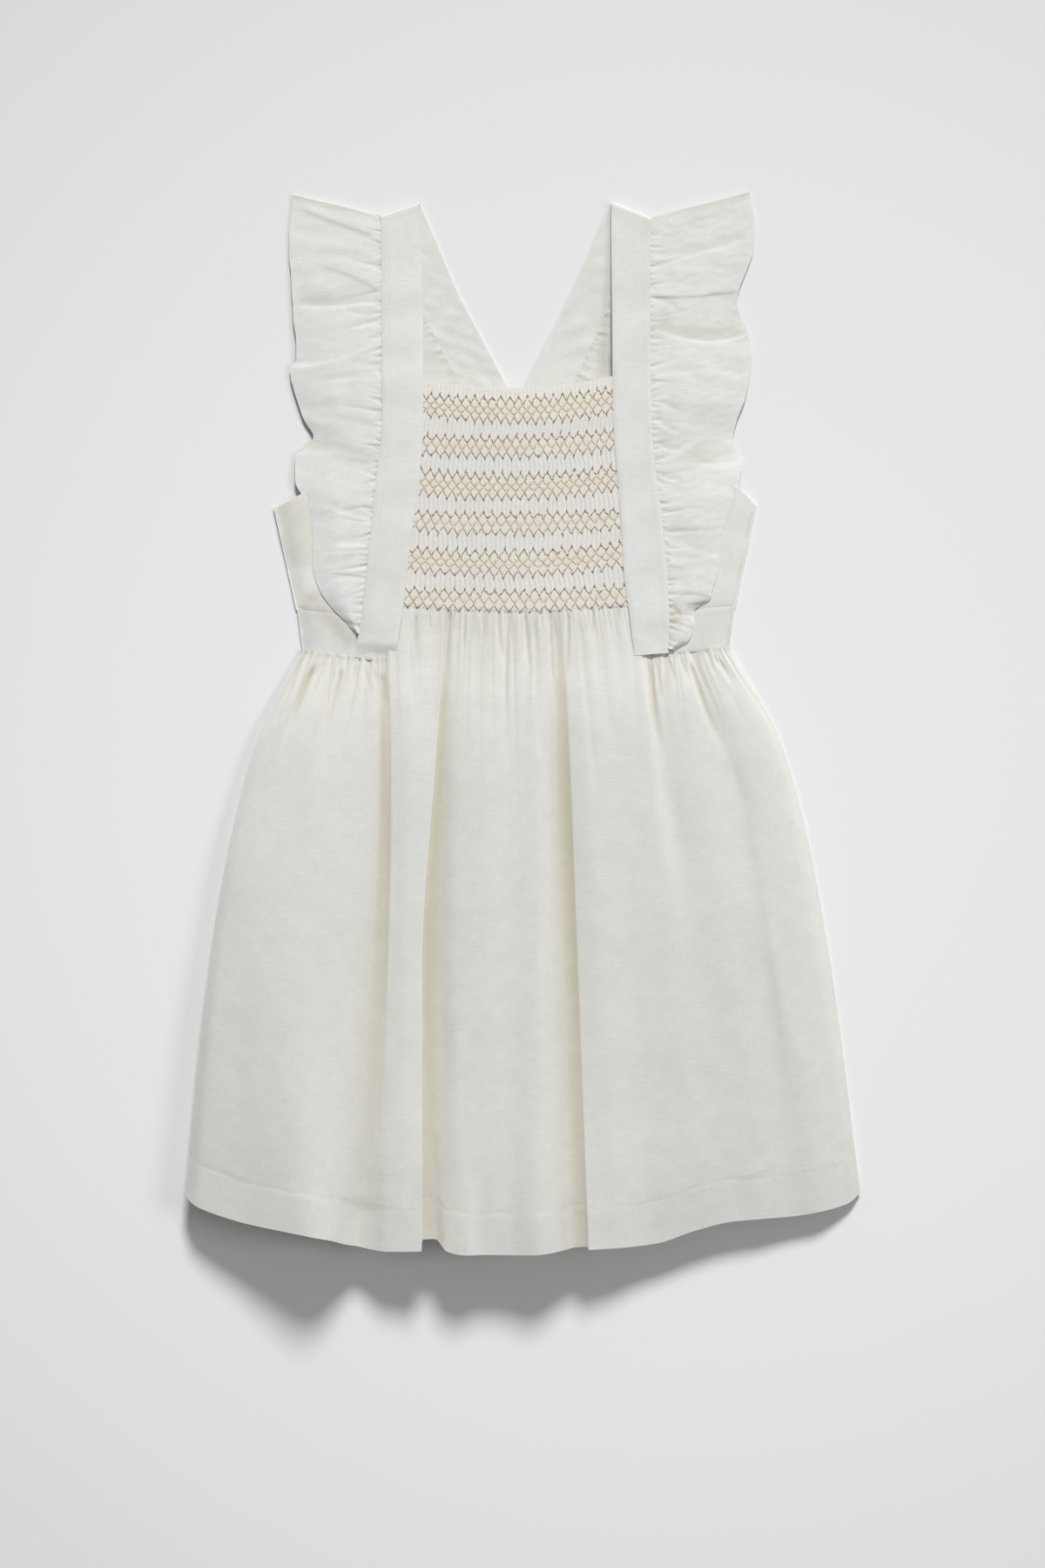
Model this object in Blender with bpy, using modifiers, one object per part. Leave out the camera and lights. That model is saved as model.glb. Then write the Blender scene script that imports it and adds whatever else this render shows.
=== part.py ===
"""Toddler pinafore dress in linen, lying flat on its back with the front up.

+X is the wearer's left (the right-hand side as it lies), +Y runs from hem to shoulders and +Z is up.
The origin is under the middle of the dress, on the surface that it lies on. Every piece of cloth is
an open sheet laid through its fold lines or sections and thickened on its inner side. The outer face
of a front piece looks up and the outer face of a back piece rests on the surface.
"""

from collections import namedtuple

import bmesh
import bpy
import numpy as np

MM = 0.001
WALL = 1.2
GAP = 0.3
FACETED_GAP = 0.5
COLLECTION = "toddler_pinafore_dress"

FRONT_COLOUR = (0.78, 0.77, 0.73)
BACK_COLOUR = (0.74, 0.73, 0.68)
RUFFLE_COLOUR = (0.80, 0.79, 0.76)
STRAP_COLOUR = (0.79, 0.78, 0.74)
LINEN_ROUGHNESS = 0.9

# The tables below are measured from a point of the bodice; this point becomes the origin.
CENTRE_X = 0.55
CENTRE_Y = -0.15

# ---------------------------------------------------------------------------------------------
# Seam lines, in millimetres
# ---------------------------------------------------------------------------------------------
SeamPoint = namedtuple("SeamPoint", "x y")

# Seam between waistband and skirt; between the straps it is only the level of the waist.
WAIST_SEAM = (
    SeamPoint(-115.0, 35.8),
    SeamPoint(-87.0, 32.0),
    SeamPoint(-66.0, 31.1),
    SeamPoint(58.0, 33.3),
    SeamPoint(76.0, 34.7),
    SeamPoint(108.0, 37.6),
)

# Seam between side pieces or back bodice and waistband.
BAND_SEAM = (
    SeamPoint(-118.0, 58.7),
    SeamPoint(-107.0, 56.7),
    SeamPoint(-92.0, 54.9),
    SeamPoint(-76.0, 53.1),
    SeamPoint(70.0, 55.1),
    SeamPoint(85.5, 57.4),
    SeamPoint(100.0, 58.7),
    SeamPoint(111.0, 59.9),
)

# ---------------------------------------------------------------------------------------------
# Front skirt: one row for each fold line, from the left side seam to the right one.
# x and z (height of the outer face) at waist, upper, lower and hem level, and y at the hem.
# ---------------------------------------------------------------------------------------------
FoldLine = namedtuple(
    "FoldLine",
    "name x_waist x_upper x_lower x_hem z_waist z_upper z_lower z_hem y_hem",
)
SKIRT_LEVELS = (0.0, 0.19, 0.54, 1.0)  # share of the skirt's length at the four levels

FRONT_FOLDS = (
    FoldLine("seam_left", -114.6, -139.7, -160.1, -173.3, 2.7, 6.0, 10.0, 14.0, -244.7),
    FoldLine("round_left", -112.8, -135.9, -155.8, -168.5, 4.0, 9.0, 14.5, 19.5, -247.4),
    FoldLine("left_flank", -107.8, -127.3, -143.1, -149.9, 5.0, 12.0, 19.0, 26.0, -254.8),
    FoldLine("left_crest", -96.1, -105.7, -115.9, -110.0, 5.6, 15.0, 27.0, 43.0, -263.0),
    FoldLine("left_slope", -83.1, -85.1, -92.0, -93.4, 5.8, 14.0, 22.0, 34.0, -266.9),
    FoldLine("strip_1_bank", -74.8, -75.3, -80.6, -83.0, 6.3, 10.0, 15.0, 24.0, -269.4),
    FoldLine("strip_1_floor", -72.0, -72.3, -74.9, -76.0, 6.5, 7.5, 10.0, 21.0, -271.0),
    FoldLine("strip_1_under", -69.8, -68.4, -70.1, -71.5, 6.8, 9.5, 13.0, 22.0, -271.8),
    FoldLine("strip_1_lip", -68.0, -67.4, -69.1, -68.3, 7.3, 13.0, 18.0, 24.0, -271.9),
    FoldLine("ridge_1_2", -59.2, -57.3, -60.3, -59.3, 8.3, 16.5, 22.0, 28.0, -271.8),
    FoldLine("strip_2_lip", -41.3, -45.2, -51.8, -51.7, 8.2, 15.0, 21.0, 28.0, -271.4),
    FoldLine("strip_2_under", -41.0, -45.8, -52.8, -52.4, 7.8, 11.0, 13.0, 18.0, -269.9),
    FoldLine("strip_2_floor", -39.3, -43.5, -49.4, -48.4, 7.2, 7.5, 8.5, 10.0, -267.4),
    FoldLine("strip_2_bank", -36.8, -39.5, -42.1, -38.5, 7.7, 10.0, 13.0, 18.0, -269.5),
    FoldLine("centre_left", -30.1, -32.2, -33.1, -28.5, 9.0, 14.5, 20.5, 26.5, -273.5),
    FoldLine("centre_crest_a", -19.3, -19.7, -20.5, -19.6, 9.4, 16.5, 23.5, 29.5, -273.5),
    FoldLine("centre_dip", -5.4, -5.4, -6.3, -7.1, 8.6, 14.0, 21.0, 27.5, -273.6),
    FoldLine("centre_crest_b", 7.2, 6.7, 7.6, 7.6, 9.4, 16.5, 24.5, 32.0, -273.3),
    FoldLine("strip_3_bank", 15.3, 14.8, 17.9, 21.4, 8.0, 10.5, 15.0, 21.0, -271.2),
    FoldLine("strip_3_floor", 18.9, 20.2, 24.2, 27.3, 7.2, 7.5, 9.0, 12.0, -269.9),
    FoldLine("strip_3_under", 21.4, 24.3, 28.3, 33.4, 7.7, 10.0, 13.0, 18.0, -269.5),
    FoldLine("strip_3_lip", 22.3, 23.6, 27.5, 32.4, 8.3, 13.0, 19.0, 27.0, -269.6),
    FoldLine("right_crest", 30.5, 34.5, 40.2, 47.3, 9.3, 16.0, 21.0, 25.0, -270.5),
    FoldLine("right_dip", 47.6, 52.9, 59.5, 68.0, 8.2, 13.5, 16.5, 17.0, -268.6),
    FoldLine("right_roll", 61.6, 65.0, 75.2, 88.6, 7.2, 13.5, 17.0, 16.0, -262.0),
    FoldLine("right_valley", 68.4, 73.6, 89.6, 106.6, 6.0, 9.5, 14.5, 15.0, -257.6),
    FoldLine("right_fold", 78.1, 87.9, 106.5, 122.7, 5.8, 11.5, 15.5, 14.0, -256.1),
    FoldLine("outer_valley", 87.1, 105.0, 123.7, 139.9, 5.0, 7.5, 11.0, 11.0, -254.8),
    FoldLine("outer_fold", 96.2, 114.8, 131.3, 152.5, 4.6, 9.5, 13.0, 10.5, -252.8),
    FoldLine("round_right", 104.3, 130.7, 151.3, 168.9, 3.6, 5.5, 7.0, 5.0, -246.7),
    FoldLine("seam_right", 107.5, 135.3, 157.4, 174.4, 2.7, 2.7, 2.7, 2.7, -241.9),
)
BIB_FROM = "strip_1_under"
BIB_TO = "right_roll"
SKIRT_ROWS = 11
SKIRT_STEPS = 2
SKIRT_ROW_CROWDING = 1.2  # power of the row share; above 1 the rows crowd towards the waist

# ---------------------------------------------------------------------------------------------
# Smocked bib: one row for each level, from the waist up. The side edges lie under the straps.
# ---------------------------------------------------------------------------------------------
BibLevel = namedtuple("BibLevel", "name left right y_left y_middle y_right gathers")

BIB_LEVELS = (
    BibLevel("waist", -69.8, 61.6, 30.8, 32.0, 33.2, 1.0),
    BibLevel("below_smocking", -65.8, 57.6, 58.5, 55.5, 59.5, 0.25),
    BibLevel("lower_bands", -62.3, 54.6, 90.0, 87.0, 91.0, 0.0),
    BibLevel("middle_bands", -57.3, 52.4, 125.0, 121.8, 125.8, 0.0),
    BibLevel("neckline", -55.0, 50.2, 176.6, 171.6, 178.8, 0.0),
)
BIB_TOP_Z = 7.5
BIB_CROWN = 1.5
BIB_ROWS = 7
BIB_FLAT_EDGE = 0.06  # share of the bib's width that stays flat under each strap
BIB_PLEAT = 0.45  # drop of every other column, the gathers that the smocking holds

# ---------------------------------------------------------------------------------------------
# Side pieces, waistband and back bodice: sections across the body.
# z is the height of the outer face, which is 0 for a back piece.
# ---------------------------------------------------------------------------------------------
BodiceSection = namedtuple("BodiceSection", "x_top y_top x_seam z")
BandSection = namedtuple("BandSection", "x_top x_waist z")

SIDE_LEFT = (
    BodiceSection(-128.5, 109.5, -117.0, 2.7),
    BodiceSection(-115.0, 116.8, -107.0, 4.0),
    BodiceSection(-95.5, 127.0, -92.5, 5.0),
    BodiceSection(-69.5, 136.5, -76.5, 6.1),
)
SIDE_RIGHT = (
    BodiceSection(68.0, 136.5, 69.5, 6.1),
    BodiceSection(92.5, 129.0, 85.5, 5.0),
    BodiceSection(112.0, 119.6, 100.0, 4.0),
    BodiceSection(120.8, 111.4, 110.0, 2.7),
)
BAND_LEFT = (
    BandSection(-116.6, -113.6, 2.7),
    BandSection(-107.0, -105.3, 4.0),
    BandSection(-92.5, -91.5, 5.0),
    BandSection(-76.5, -77.0, 6.1),
)
BAND_RIGHT = (
    BandSection(69.5, 68.6, 6.1),
    BandSection(85.5, 84.0, 5.0),
    BandSection(100.0, 98.0, 4.0),
    BandSection(109.8, 106.8, 2.7),
)
BACK_BODICE = (
    BodiceSection(-127.2, 108.6, -115.8, 0.0),
    BodiceSection(-114.0, 115.5, -104.0, 0.0),
    BodiceSection(-84.0, 111.0, -78.0, 0.0),
    BodiceSection(-40.0, 103.9, -38.0, 0.0),
    BodiceSection(-1.5, 103.6, -1.0, 0.0),
    BodiceSection(36.0, 103.9, 33.0, 0.0),
    BodiceSection(80.0, 113.0, 72.0, 0.0),
    BodiceSection(111.0, 118.3, 98.0, 0.0),
    BodiceSection(119.5, 110.5, 108.8, 0.0),
)
BAND_BACK = (
    BandSection(-115.6, -112.6, 0.0),
    BandSection(-76.0, -75.0, 0.0),
    BandSection(-30.0, -30.0, 0.0),
    BandSection(30.0, 30.0, 0.0),
    BandSection(70.0, 69.0, 0.0),
    BandSection(108.8, 105.8, 0.0),
)
PANEL_STEPS = 4
PANEL_ROWS = 3
BAND_ROWS = 2

# ---------------------------------------------------------------------------------------------
# Back of the skirt: z is the height of its outer face, which rests on the surface.
# ---------------------------------------------------------------------------------------------
BACK_FOLDS = (
    FoldLine("seam_left", -113.8, -138.9, -159.2, -172.3, 0.0, 3.3, 7.3, 11.3, -238.7),
    FoldLine("roll_left", -110.0, -133.0, -151.0, -163.0, 0.0, 0.8, 2.6, 4.2, -242.5),
    FoldLine("rest_left", -104.0, -125.0, -141.0, -152.0, 0.0, 0.0, 0.0, 0.0, -246.5),
    FoldLine("rest_a", -88.0, -104.0, -114.0, -121.0, 0.0, 0.0, 0.0, 0.0, -254.0),
    FoldLine("ripple_a", -74.0, -86.0, -95.0, -99.0, 0.0, 1.4, 2.0, 2.4, -258.5),
    FoldLine("rest_b", -60.0, -70.0, -77.0, -80.0, 0.0, 0.0, 0.0, 0.0, -262.0),
    FoldLine("rest_c", -38.0, -44.0, -48.0, -50.0, 0.0, 0.0, 0.0, 0.0, -265.0),
    FoldLine("ripple_b", -22.0, -26.0, -28.0, -27.0, 0.0, 1.6, 2.2, 2.6, -267.0),
    FoldLine("rest_d", -6.0, -8.0, -9.0, -7.0, 0.0, 0.0, 0.0, 0.0, -267.5),
    FoldLine("rest_e", 18.0, 20.0, 22.0, 25.0, 0.0, 0.0, 0.0, 0.0, -266.5),
    FoldLine("ripple_c", 36.0, 41.0, 45.0, 50.0, 0.0, 1.5, 2.0, 2.2, -264.5),
    FoldLine("rest_f", 52.0, 60.0, 67.0, 74.0, 0.0, 0.0, 0.0, 0.0, -260.0),
    FoldLine("rest_g", 76.0, 92.0, 106.0, 117.0, 0.0, 0.0, 0.0, 0.0, -250.5),
    FoldLine("rest_right", 97.0, 121.0, 140.0, 154.0, 0.0, 0.0, 0.0, 0.0, -243.5),
    FoldLine("seam_right", 106.7, 134.5, 156.5, 173.4, 0.0, 0.0, 0.0, 0.0, -236.0),
)
BACK_ROWS = 8
BACK_STEPS = 1

# ---------------------------------------------------------------------------------------------
# Straps: one row for each section, from the waist over the shoulder to the back bodice.
# Inner and outer edge of the outer face.
# ---------------------------------------------------------------------------------------------
StrapSection = namedtuple("StrapSection", "name x_in y_in z_in x_out y_out z_out")

STRAP_LEFT = (
    StrapSection("front_end", -65.9, 31.6, 9.5, -86.6, 32.9, 7.6),
    StrapSection("over_band", -64.2, 41.6, 9.2, -84.8, 43.9, 8.2),
    StrapSection("band_seam", -62.4, 51.9, 9.2, -83.0, 54.6, 9.2),
    StrapSection("low_bib", -59.2, 77.5, 9.2, -80.3, 79.8, 9.2),
    StrapSection("mid_bib", -55.6, 105.8, 9.2, -77.2, 108.5, 9.2),
    StrapSection("high_bib", -52.9, 126.9, 9.2, -74.9, 131.3, 9.2),
    StrapSection("chest", -51.1, 156.0, 9.2, -72.4, 156.0, 9.2),
    StrapSection("over_neckline", -51.1, 209.0, 9.2, -72.7, 209.0, 9.2),
    StrapSection("under_fold", -52.9, 253.8, 9.2, -73.1, 248.0, 9.2),
    StrapSection("fold_start", -53.4, 262.3, 9.2, -73.1, 256.0, 9.2),
    StrapSection("fold_upper", -53.7, 266.0, 7.8, -73.4, 259.5, 7.8),
    StrapSection("fold_crest", -53.6, 267.7, 4.6, -73.6, 261.0, 4.6),
    StrapSection("fold_lower", -52.8, 266.5, 1.4, -72.8, 259.4, 1.4),
    StrapSection("fold_end", -51.3, 263.2, 0.0, -71.1, 254.7, 0.0),
    StrapSection("back_high", -43.2, 244.4, 0.0, -62.6, 234.9, 0.0),
    StrapSection("back_a", -33.3, 221.0, 0.0, -52.7, 212.0, 0.0),
    StrapSection("back_b", -21.2, 198.0, 0.0, -41.4, 189.9, 0.0),
    StrapSection("back_c", -9.0, 175.1, 0.0, -29.3, 167.9, 0.0),
    StrapSection("crossing", 5.0, 148.1, 0.0, -15.3, 140.0, 0.0),
    StrapSection("past_crossing", 21.6, 117.0, 0.0, 1.4, 108.0, 0.0),
    StrapSection("back_end", 27.6, 105.3, 0.0, 3.4, 104.3, 0.0),
)
STRAP_RIGHT = (
    StrapSection("front_end", 57.9, 33.8, 9.4, 75.4, 35.1, 7.6),
    StrapSection("over_band", 56.5, 43.0, 9.2, 75.8, 45.2, 8.2),
    StrapSection("band_seam", 55.2, 54.2, 9.2, 75.6, 56.0, 9.2),
    StrapSection("low_bib", 52.0, 79.8, 9.2, 74.2, 81.5, 9.2),
    StrapSection("mid_bib", 50.7, 105.8, 9.2, 71.8, 105.8, 9.2),
    StrapSection("high_bib", 48.4, 133.1, 9.2, 68.2, 133.1, 9.2),
    StrapSection("chest", 46.7, 156.0, 9.2, 66.6, 156.0, 9.2),
    StrapSection("over_neckline", 46.2, 209.0, 9.2, 65.9, 209.0, 9.2),
    StrapSection("under_fold", 45.8, 253.8, 9.2, 65.9, 248.0, 9.2),
    StrapSection("fold_start", 45.8, 262.3, 9.2, 66.2, 255.1, 9.2),
    StrapSection("fold_upper", 46.2, 266.4, 7.8, 66.6, 258.6, 7.8),
    StrapSection("fold_crest", 46.4, 268.2, 4.6, 66.7, 259.9, 4.6),
    StrapSection("fold_lower", 45.6, 267.0, 1.4, 65.8, 258.4, 1.4),
    StrapSection("fold_end", 43.7, 263.0, 0.0, 63.5, 253.4, 0.0),
    StrapSection("back_high", 34.2, 241.2, 0.0, 53.6, 232.2, 0.0),
    StrapSection("back_a", 24.3, 219.2, 0.0, 43.7, 210.2, 0.0),
    StrapSection("back_b", 13.1, 194.9, 0.4, 32.4, 185.6, 0.4),
    StrapSection("back_c", 2.7, 173.3, 1.6, 22.1, 164.0, 1.6),
    StrapSection("crossing", -10.4, 146.3, 1.6, 9.0, 136.8, 1.6),
    StrapSection("past_crossing", -19.4, 127.4, 1.6, 0.0, 118.1, 1.6),
    StrapSection("near_bodice", -24.3, 117.0, 1.0, -5.0, 107.8, 1.0),
    StrapSection("back_end", -29.6, 105.3, 0.0, -6.8, 104.3, 0.0),
)
FOLD_CREST = "fold_crest"
STRAP_STEPS = 3
STRAP_COLUMNS = 3

# ---------------------------------------------------------------------------------------------
# Ruffles: one row for each fold, from the waist up to the shoulder and then down the back.
# y_seam is where the fold leaves the strap, x_edge and y_edge where it reaches the free edge,
# and z_mid and z_edge the height of the outer face halfway out and at the free edge.
# ---------------------------------------------------------------------------------------------
RuffleFold = namedtuple("RuffleFold", "name y_seam x_edge y_edge z_mid z_edge")

RUFFLE_LEFT_FRONT = (
    RuffleFold("end", 45.2, -86.0, 45.1, 8.4, 8.4),
    RuffleFold("end_ridge", 51.9, -91.4, 51.4, 9.2, 10.0),
    RuffleFold("valley_1", 61.8, -99.9, 60.3, 8.0, 8.2),
    RuffleFold("ridge_1", 71.7, -104.8, 68.0, 10.2, 12.0),
    RuffleFold("valley_2", 84.3, -108.0, 78.7, 7.6, 8.2),
    RuffleFold("ridge_2", 94.1, -108.0, 90.8, 10.5, 13.0),
    RuffleFold("valley_3", 104.9, -108.9, 102.9, 8.0, 9.0),
    RuffleFold("ridge_3", 115.7, -112.4, 114.1, 11.0, 13.0),
    RuffleFold("ridge_4", 125.5, -117.4, 124.4, 10.5, 12.0),
    RuffleFold("pocket_lower", 133.6, -117.4, 136.4, 9.5, 10.5),
    RuffleFold("pocket_floor", 136.8, -111.1, 141.8, 7.2, 7.6),
    RuffleFold("pocket_lip", 140.9, -108.0, 147.2, 10.0, 13.0),
    RuffleFold("ridge_5", 148.4, -112.9, 155.8, 11.5, 15.0),
    RuffleFold("valley_5", 156.9, -116.5, 166.0, 9.2, 11.0),
    RuffleFold("ridge_6", 167.2, -119.6, 177.0, 10.5, 13.0),
    RuffleFold("tip_under", 180.2, -120.0, 182.2, 8.6, 10.0),
    RuffleFold("tip_lip", 188.7, -116.8, 186.4, 10.5, 14.0),
    RuffleFold("ridge_7", 197.4, -116.9, 196.2, 12.0, 15.0),
    RuffleFold("ridge_8", 207.3, -118.3, 206.9, 10.8, 13.0),
    RuffleFold("valley_8", 216.5, -118.7, 215.0, 7.8, 8.8),
    RuffleFold("ridge_9", 223.4, -119.2, 221.3, 10.5, 14.0),
    RuffleFold("ridge_10", 231.0, -119.6, 230.7, 11.0, 15.0),
    RuffleFold("valley_10", 239.8, -120.5, 240.9, 9.2, 12.0),
    RuffleFold("ridge_11", 245.4, -120.5, 250.6, 11.0, 14.0),
    RuffleFold("valley_11", 249.8, -119.6, 260.0, 9.8, 12.0),
    RuffleFold("ridge_12", 254.8, -119.0, 267.6, 9.8, 11.5),
)
RUFFLE_LEFT_CREST = RuffleFold("shoulder", 261.0, -118.7, 272.0, 5.4, 6.2)
RUFFLE_LEFT_BACK = (
    RuffleFold("back_top", 254.0, -116.5, 267.0, 1.2, 1.4),
    RuffleFold("back_valley_1", 238.0, -114.3, 244.0, 0.0, 0.0),
    RuffleFold("back_ridge_1", 224.0, -109.8, 223.0, 1.8, 2.4),
    RuffleFold("back_valley_2", 210.0, -101.7, 204.5, 0.0, 0.0),
    RuffleFold("back_ridge_2", 198.0, -90.9, 189.0, 1.8, 2.4),
    RuffleFold("back_valley_3", 187.2, -77.4, 176.4, 0.0, 0.0),
    RuffleFold("back_ridge_3", 176.4, -62.1, 166.5, 1.6, 2.2),
    RuffleFold("back_valley_4", 168.4, -47.5, 161.1, 0.0, 0.0),
    RuffleFold("back_end", 160.3, -30.5, 157.0, 0.0, 0.0),
)

RUFFLE_RIGHT_FRONT = (
    RuffleFold("end", 37.5, 78.4, 36.6, 7.8, 7.8),
    RuffleFold("end_lobe", 42.8, 86.0, 42.0, 8.8, 8.8),
    RuffleFold("lobe_ridge", 49.4, 88.7, 50.0, 10.2, 10.5),
    RuffleFold("knot_under", 54.9, 88.4, 56.4, 8.6, 8.8),
    RuffleFold("knot_floor", 58.2, 91.5, 59.6, 7.4, 7.4),
    RuffleFold("tip_lip", 61.6, 96.8, 62.8, 10.4, 12.5),
    RuffleFold("tip_ridge", 66.0, 98.1, 68.0, 10.5, 12.5),
    RuffleFold("ridge_1", 73.5, 100.8, 76.1, 10.5, 13.0),
    RuffleFold("valley_1", 82.0, 102.1, 85.0, 7.8, 8.8),
    RuffleFold("bank_1", 90.0, 102.6, 91.5, 9.3, 11.0),
    RuffleFold("ridge_2", 98.8, 103.5, 98.6, 10.8, 13.5),
    RuffleFold("ridge_3", 108.7, 106.6, 108.5, 11.5, 15.0),
    RuffleFold("valley_3", 119.3, 111.1, 118.6, 9.5, 12.0),
    RuffleFold("ridge_4", 126.4, 112.4, 127.0, 10.6, 14.0),
    RuffleFold("pocket_lower", 131.7, 113.3, 134.4, 9.6, 12.0),
    RuffleFold("pocket_floor", 136.0, 110.6, 139.2, 7.2, 7.4),
    RuffleFold("pocket_lip", 141.5, 108.4, 145.0, 10.2, 13.0),
    RuffleFold("ridge_5", 149.8, 110.7, 155.4, 12.0, 15.0),
    RuffleFold("ridge_6", 160.5, 115.1, 167.0, 12.2, 15.0),
    RuffleFold("valley_6", 171.7, 117.4, 179.1, 9.8, 12.0),
    RuffleFold("ridge_7", 182.9, 118.3, 189.4, 11.5, 14.5),
    RuffleFold("ridge_8", 192.3, 116.9, 197.5, 11.0, 14.0),
    RuffleFold("lobe_bank", 198.9, 115.6, 202.9, 9.0, 11.0),
    RuffleFold("lobe_floor", 206.6, 112.4, 209.6, 7.2, 8.0),
    RuffleFold("lobe_top", 213.7, 110.7, 216.9, 7.6, 8.8),
    RuffleFold("lobe_lip", 219.9, 112.0, 223.4, 10.5, 13.0),
    RuffleFold("ridge_9", 228.7, 115.6, 232.4, 11.5, 15.0),
    RuffleFold("valley_9", 238.4, 119.2, 243.2, 9.6, 12.0),
    RuffleFold("ridge_10", 244.8, 120.1, 253.8, 11.5, 14.0),
    RuffleFold("valley_10", 249.6, 119.6, 262.3, 10.0, 12.0),
    RuffleFold("ridge_11", 254.2, 118.3, 268.9, 10.0, 11.5),
)
RUFFLE_RIGHT_CREST = RuffleFold("shoulder", 259.9, 116.9, 273.4, 5.4, 6.2)
RUFFLE_RIGHT_BACK = (
    RuffleFold("back_top", 253.0, 114.0, 268.0, 1.2, 1.4),
    RuffleFold("back_valley_1", 237.0, 108.9, 244.0, 0.0, 0.0),
    RuffleFold("back_ridge_1", 223.0, 104.4, 223.0, 1.8, 2.4),
    RuffleFold("back_valley_2", 209.0, 96.3, 204.5, 0.0, 0.0),
    RuffleFold("back_ridge_2", 197.0, 85.5, 189.0, 1.8, 2.4),
    RuffleFold("back_valley_3", 186.0, 72.0, 176.4, 0.0, 0.0),
    RuffleFold("back_ridge_3", 176.0, 56.7, 166.5, 1.6, 2.2),
    RuffleFold("back_valley_4", 168.0, 41.4, 161.1, 0.2, 0.0),
    RuffleFold("back_end", 160.3, 25.5, 157.0, 1.0, 1.0),
)
RUFFLE_STEPS = 2
RUFFLE_COLUMNS = 5
SEAM_STEPS = 8  # spans between two strap sections where a ruffle's seam line is read off them


# ---------------------------------------------------------------------------------------------
# Curves
# ---------------------------------------------------------------------------------------------
def smooth(t):
    """Ease from 0 to 1 with level ends."""
    t = np.clip(t, 0.0, 1.0)
    return t * t * (3.0 - 2.0 * t)


def through(knots, values, where):
    """Smooth curve through values[k] at knots[k], with no overshoot between its turning points."""
    knots = np.asarray(knots, dtype=float)
    values = np.asarray(values, dtype=float)
    where = np.asarray(where, dtype=float)
    flat = values.reshape(len(knots), -1)
    step = np.diff(knots)[:, None]
    rise = np.diff(flat, axis=0) / step
    slope = np.zeros_like(flat)
    before, after = rise[:-1], rise[1:]
    same_way = before * after > 0.0
    weight_before = 2.0 * step[1:] + step[:-1]
    weight_after = step[1:] + 2.0 * step[:-1]
    safe_before = np.where(same_way, before, 1.0)
    safe_after = np.where(same_way, after, 1.0)
    mean = (weight_before + weight_after) / (weight_before / safe_before + weight_after / safe_after)
    slope[1:-1] = np.where(same_way, mean, 0.0)
    slope[0] = rise[0]
    slope[-1] = rise[-1]
    span = np.clip(np.searchsorted(knots, where, side="right") - 1, 0, len(knots) - 2)
    width = step[span]
    t = ((where - knots[span])[:, None]) / width
    start = flat[span] * (1.0 + 2.0 * t) * (1.0 - t) ** 2 + slope[span] * width * t * (1.0 - t) ** 2
    end = flat[span + 1] * t * t * (3.0 - 2.0 * t) + slope[span + 1] * width * t * t * (t - 1.0)
    return (start + end).reshape((len(where),) + values.shape[1:])


def seam_y(seam, x):
    """y of a seam line at each x."""
    points = np.array(seam)
    inside = np.clip(np.atleast_1d(x), points[0, 0], points[-1, 0])
    return through(points[:, 0], points[:, 1], inside)


def spread(count, steps):
    """Parameters of count lines with steps spans between neighbours."""
    return np.linspace(0.0, count - 1.0, (count - 1) * steps + 1)


# ---------------------------------------------------------------------------------------------
# Sheets of points, as arrays [column, row, xyz] in millimetres
# ---------------------------------------------------------------------------------------------
def skirt_points(folds, rows, steps, waist_drop):
    """Skirt panel through its fold lines, from the waist seam to the hem."""
    down = np.linspace(0.0, 1.0, rows + 1) ** SKIRT_ROW_CROWDING
    lines = []
    for fold in folds:
        x = through(SKIRT_LEVELS, (fold.x_waist, fold.x_upper, fold.x_lower, fold.x_hem), down)
        z = through(SKIRT_LEVELS, (fold.z_waist, fold.z_upper, fold.z_lower, fold.z_hem), down)
        lines.append(np.stack((x, fold.y_hem * down, z), axis=1))
    points = through(np.arange(len(folds)), np.array(lines), spread(len(folds), steps))
    waist = seam_y(WAIST_SEAM, points[:, 0, 0]) - waist_drop
    points[:, :, 1] += waist[:, None] * (1.0 - down)
    return points


def bib_points(skirt, first, last):
    """Bib above the skirt columns first to last, from the neckline down to just above the waist."""
    waist = skirt[first : last + 1, 0]
    share = (waist[:, 0] - waist[0, 0]) / (waist[-1, 0] - waist[0, 0])
    levels = np.array([level[1:] for level in BIB_LEVELS])
    up = np.linspace(0.0, len(BIB_LEVELS) - 1.0, BIB_ROWS + 1)[::-1]
    at = through(np.arange(len(BIB_LEVELS)), levels, up)
    left, right, y_left, y_middle, y_right, gathers = at.T
    crown = BIB_CROWN * smooth((0.5 - abs(share - 0.5) - BIB_FLAT_EDGE) / (0.5 - BIB_FLAT_EDGE))
    plain = BIB_TOP_Z + crown
    inner = smooth((0.5 - abs(share - 0.5)) / (2.0 * BIB_FLAT_EDGE))
    pleated = BIB_PLEAT * (1.0 - gathers)
    columns = []
    for column, w in enumerate(share):
        x = left + (right - left) * w
        chord = y_left + (y_right - y_left) * w
        sag = y_middle - 0.5 * (y_left + y_right)
        y = chord + sag * 4.0 * w * (1.0 - w)
        z = plain[column] + (waist[column, 2] - plain[column]) * gathers * inner[column]
        z -= pleated * (column % 2)
        columns.append(np.stack((x, y, z), axis=1))
    points = np.array(columns)
    points[:, -1] = waist
    return points[:, :-1]


def strap_points(sections):
    """Strap from its inner edge to its outer edge."""
    along = spread(len(sections), STRAP_STEPS)
    edges = np.array([section[1:] for section in sections])
    swept = through(np.arange(len(sections)), edges, along)
    inner, outer = swept[:, :3], swept[:, 3:]
    share = np.linspace(0.0, 1.0, STRAP_COLUMNS)[:, None, None]
    return inner + (outer - inner) * share


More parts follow.
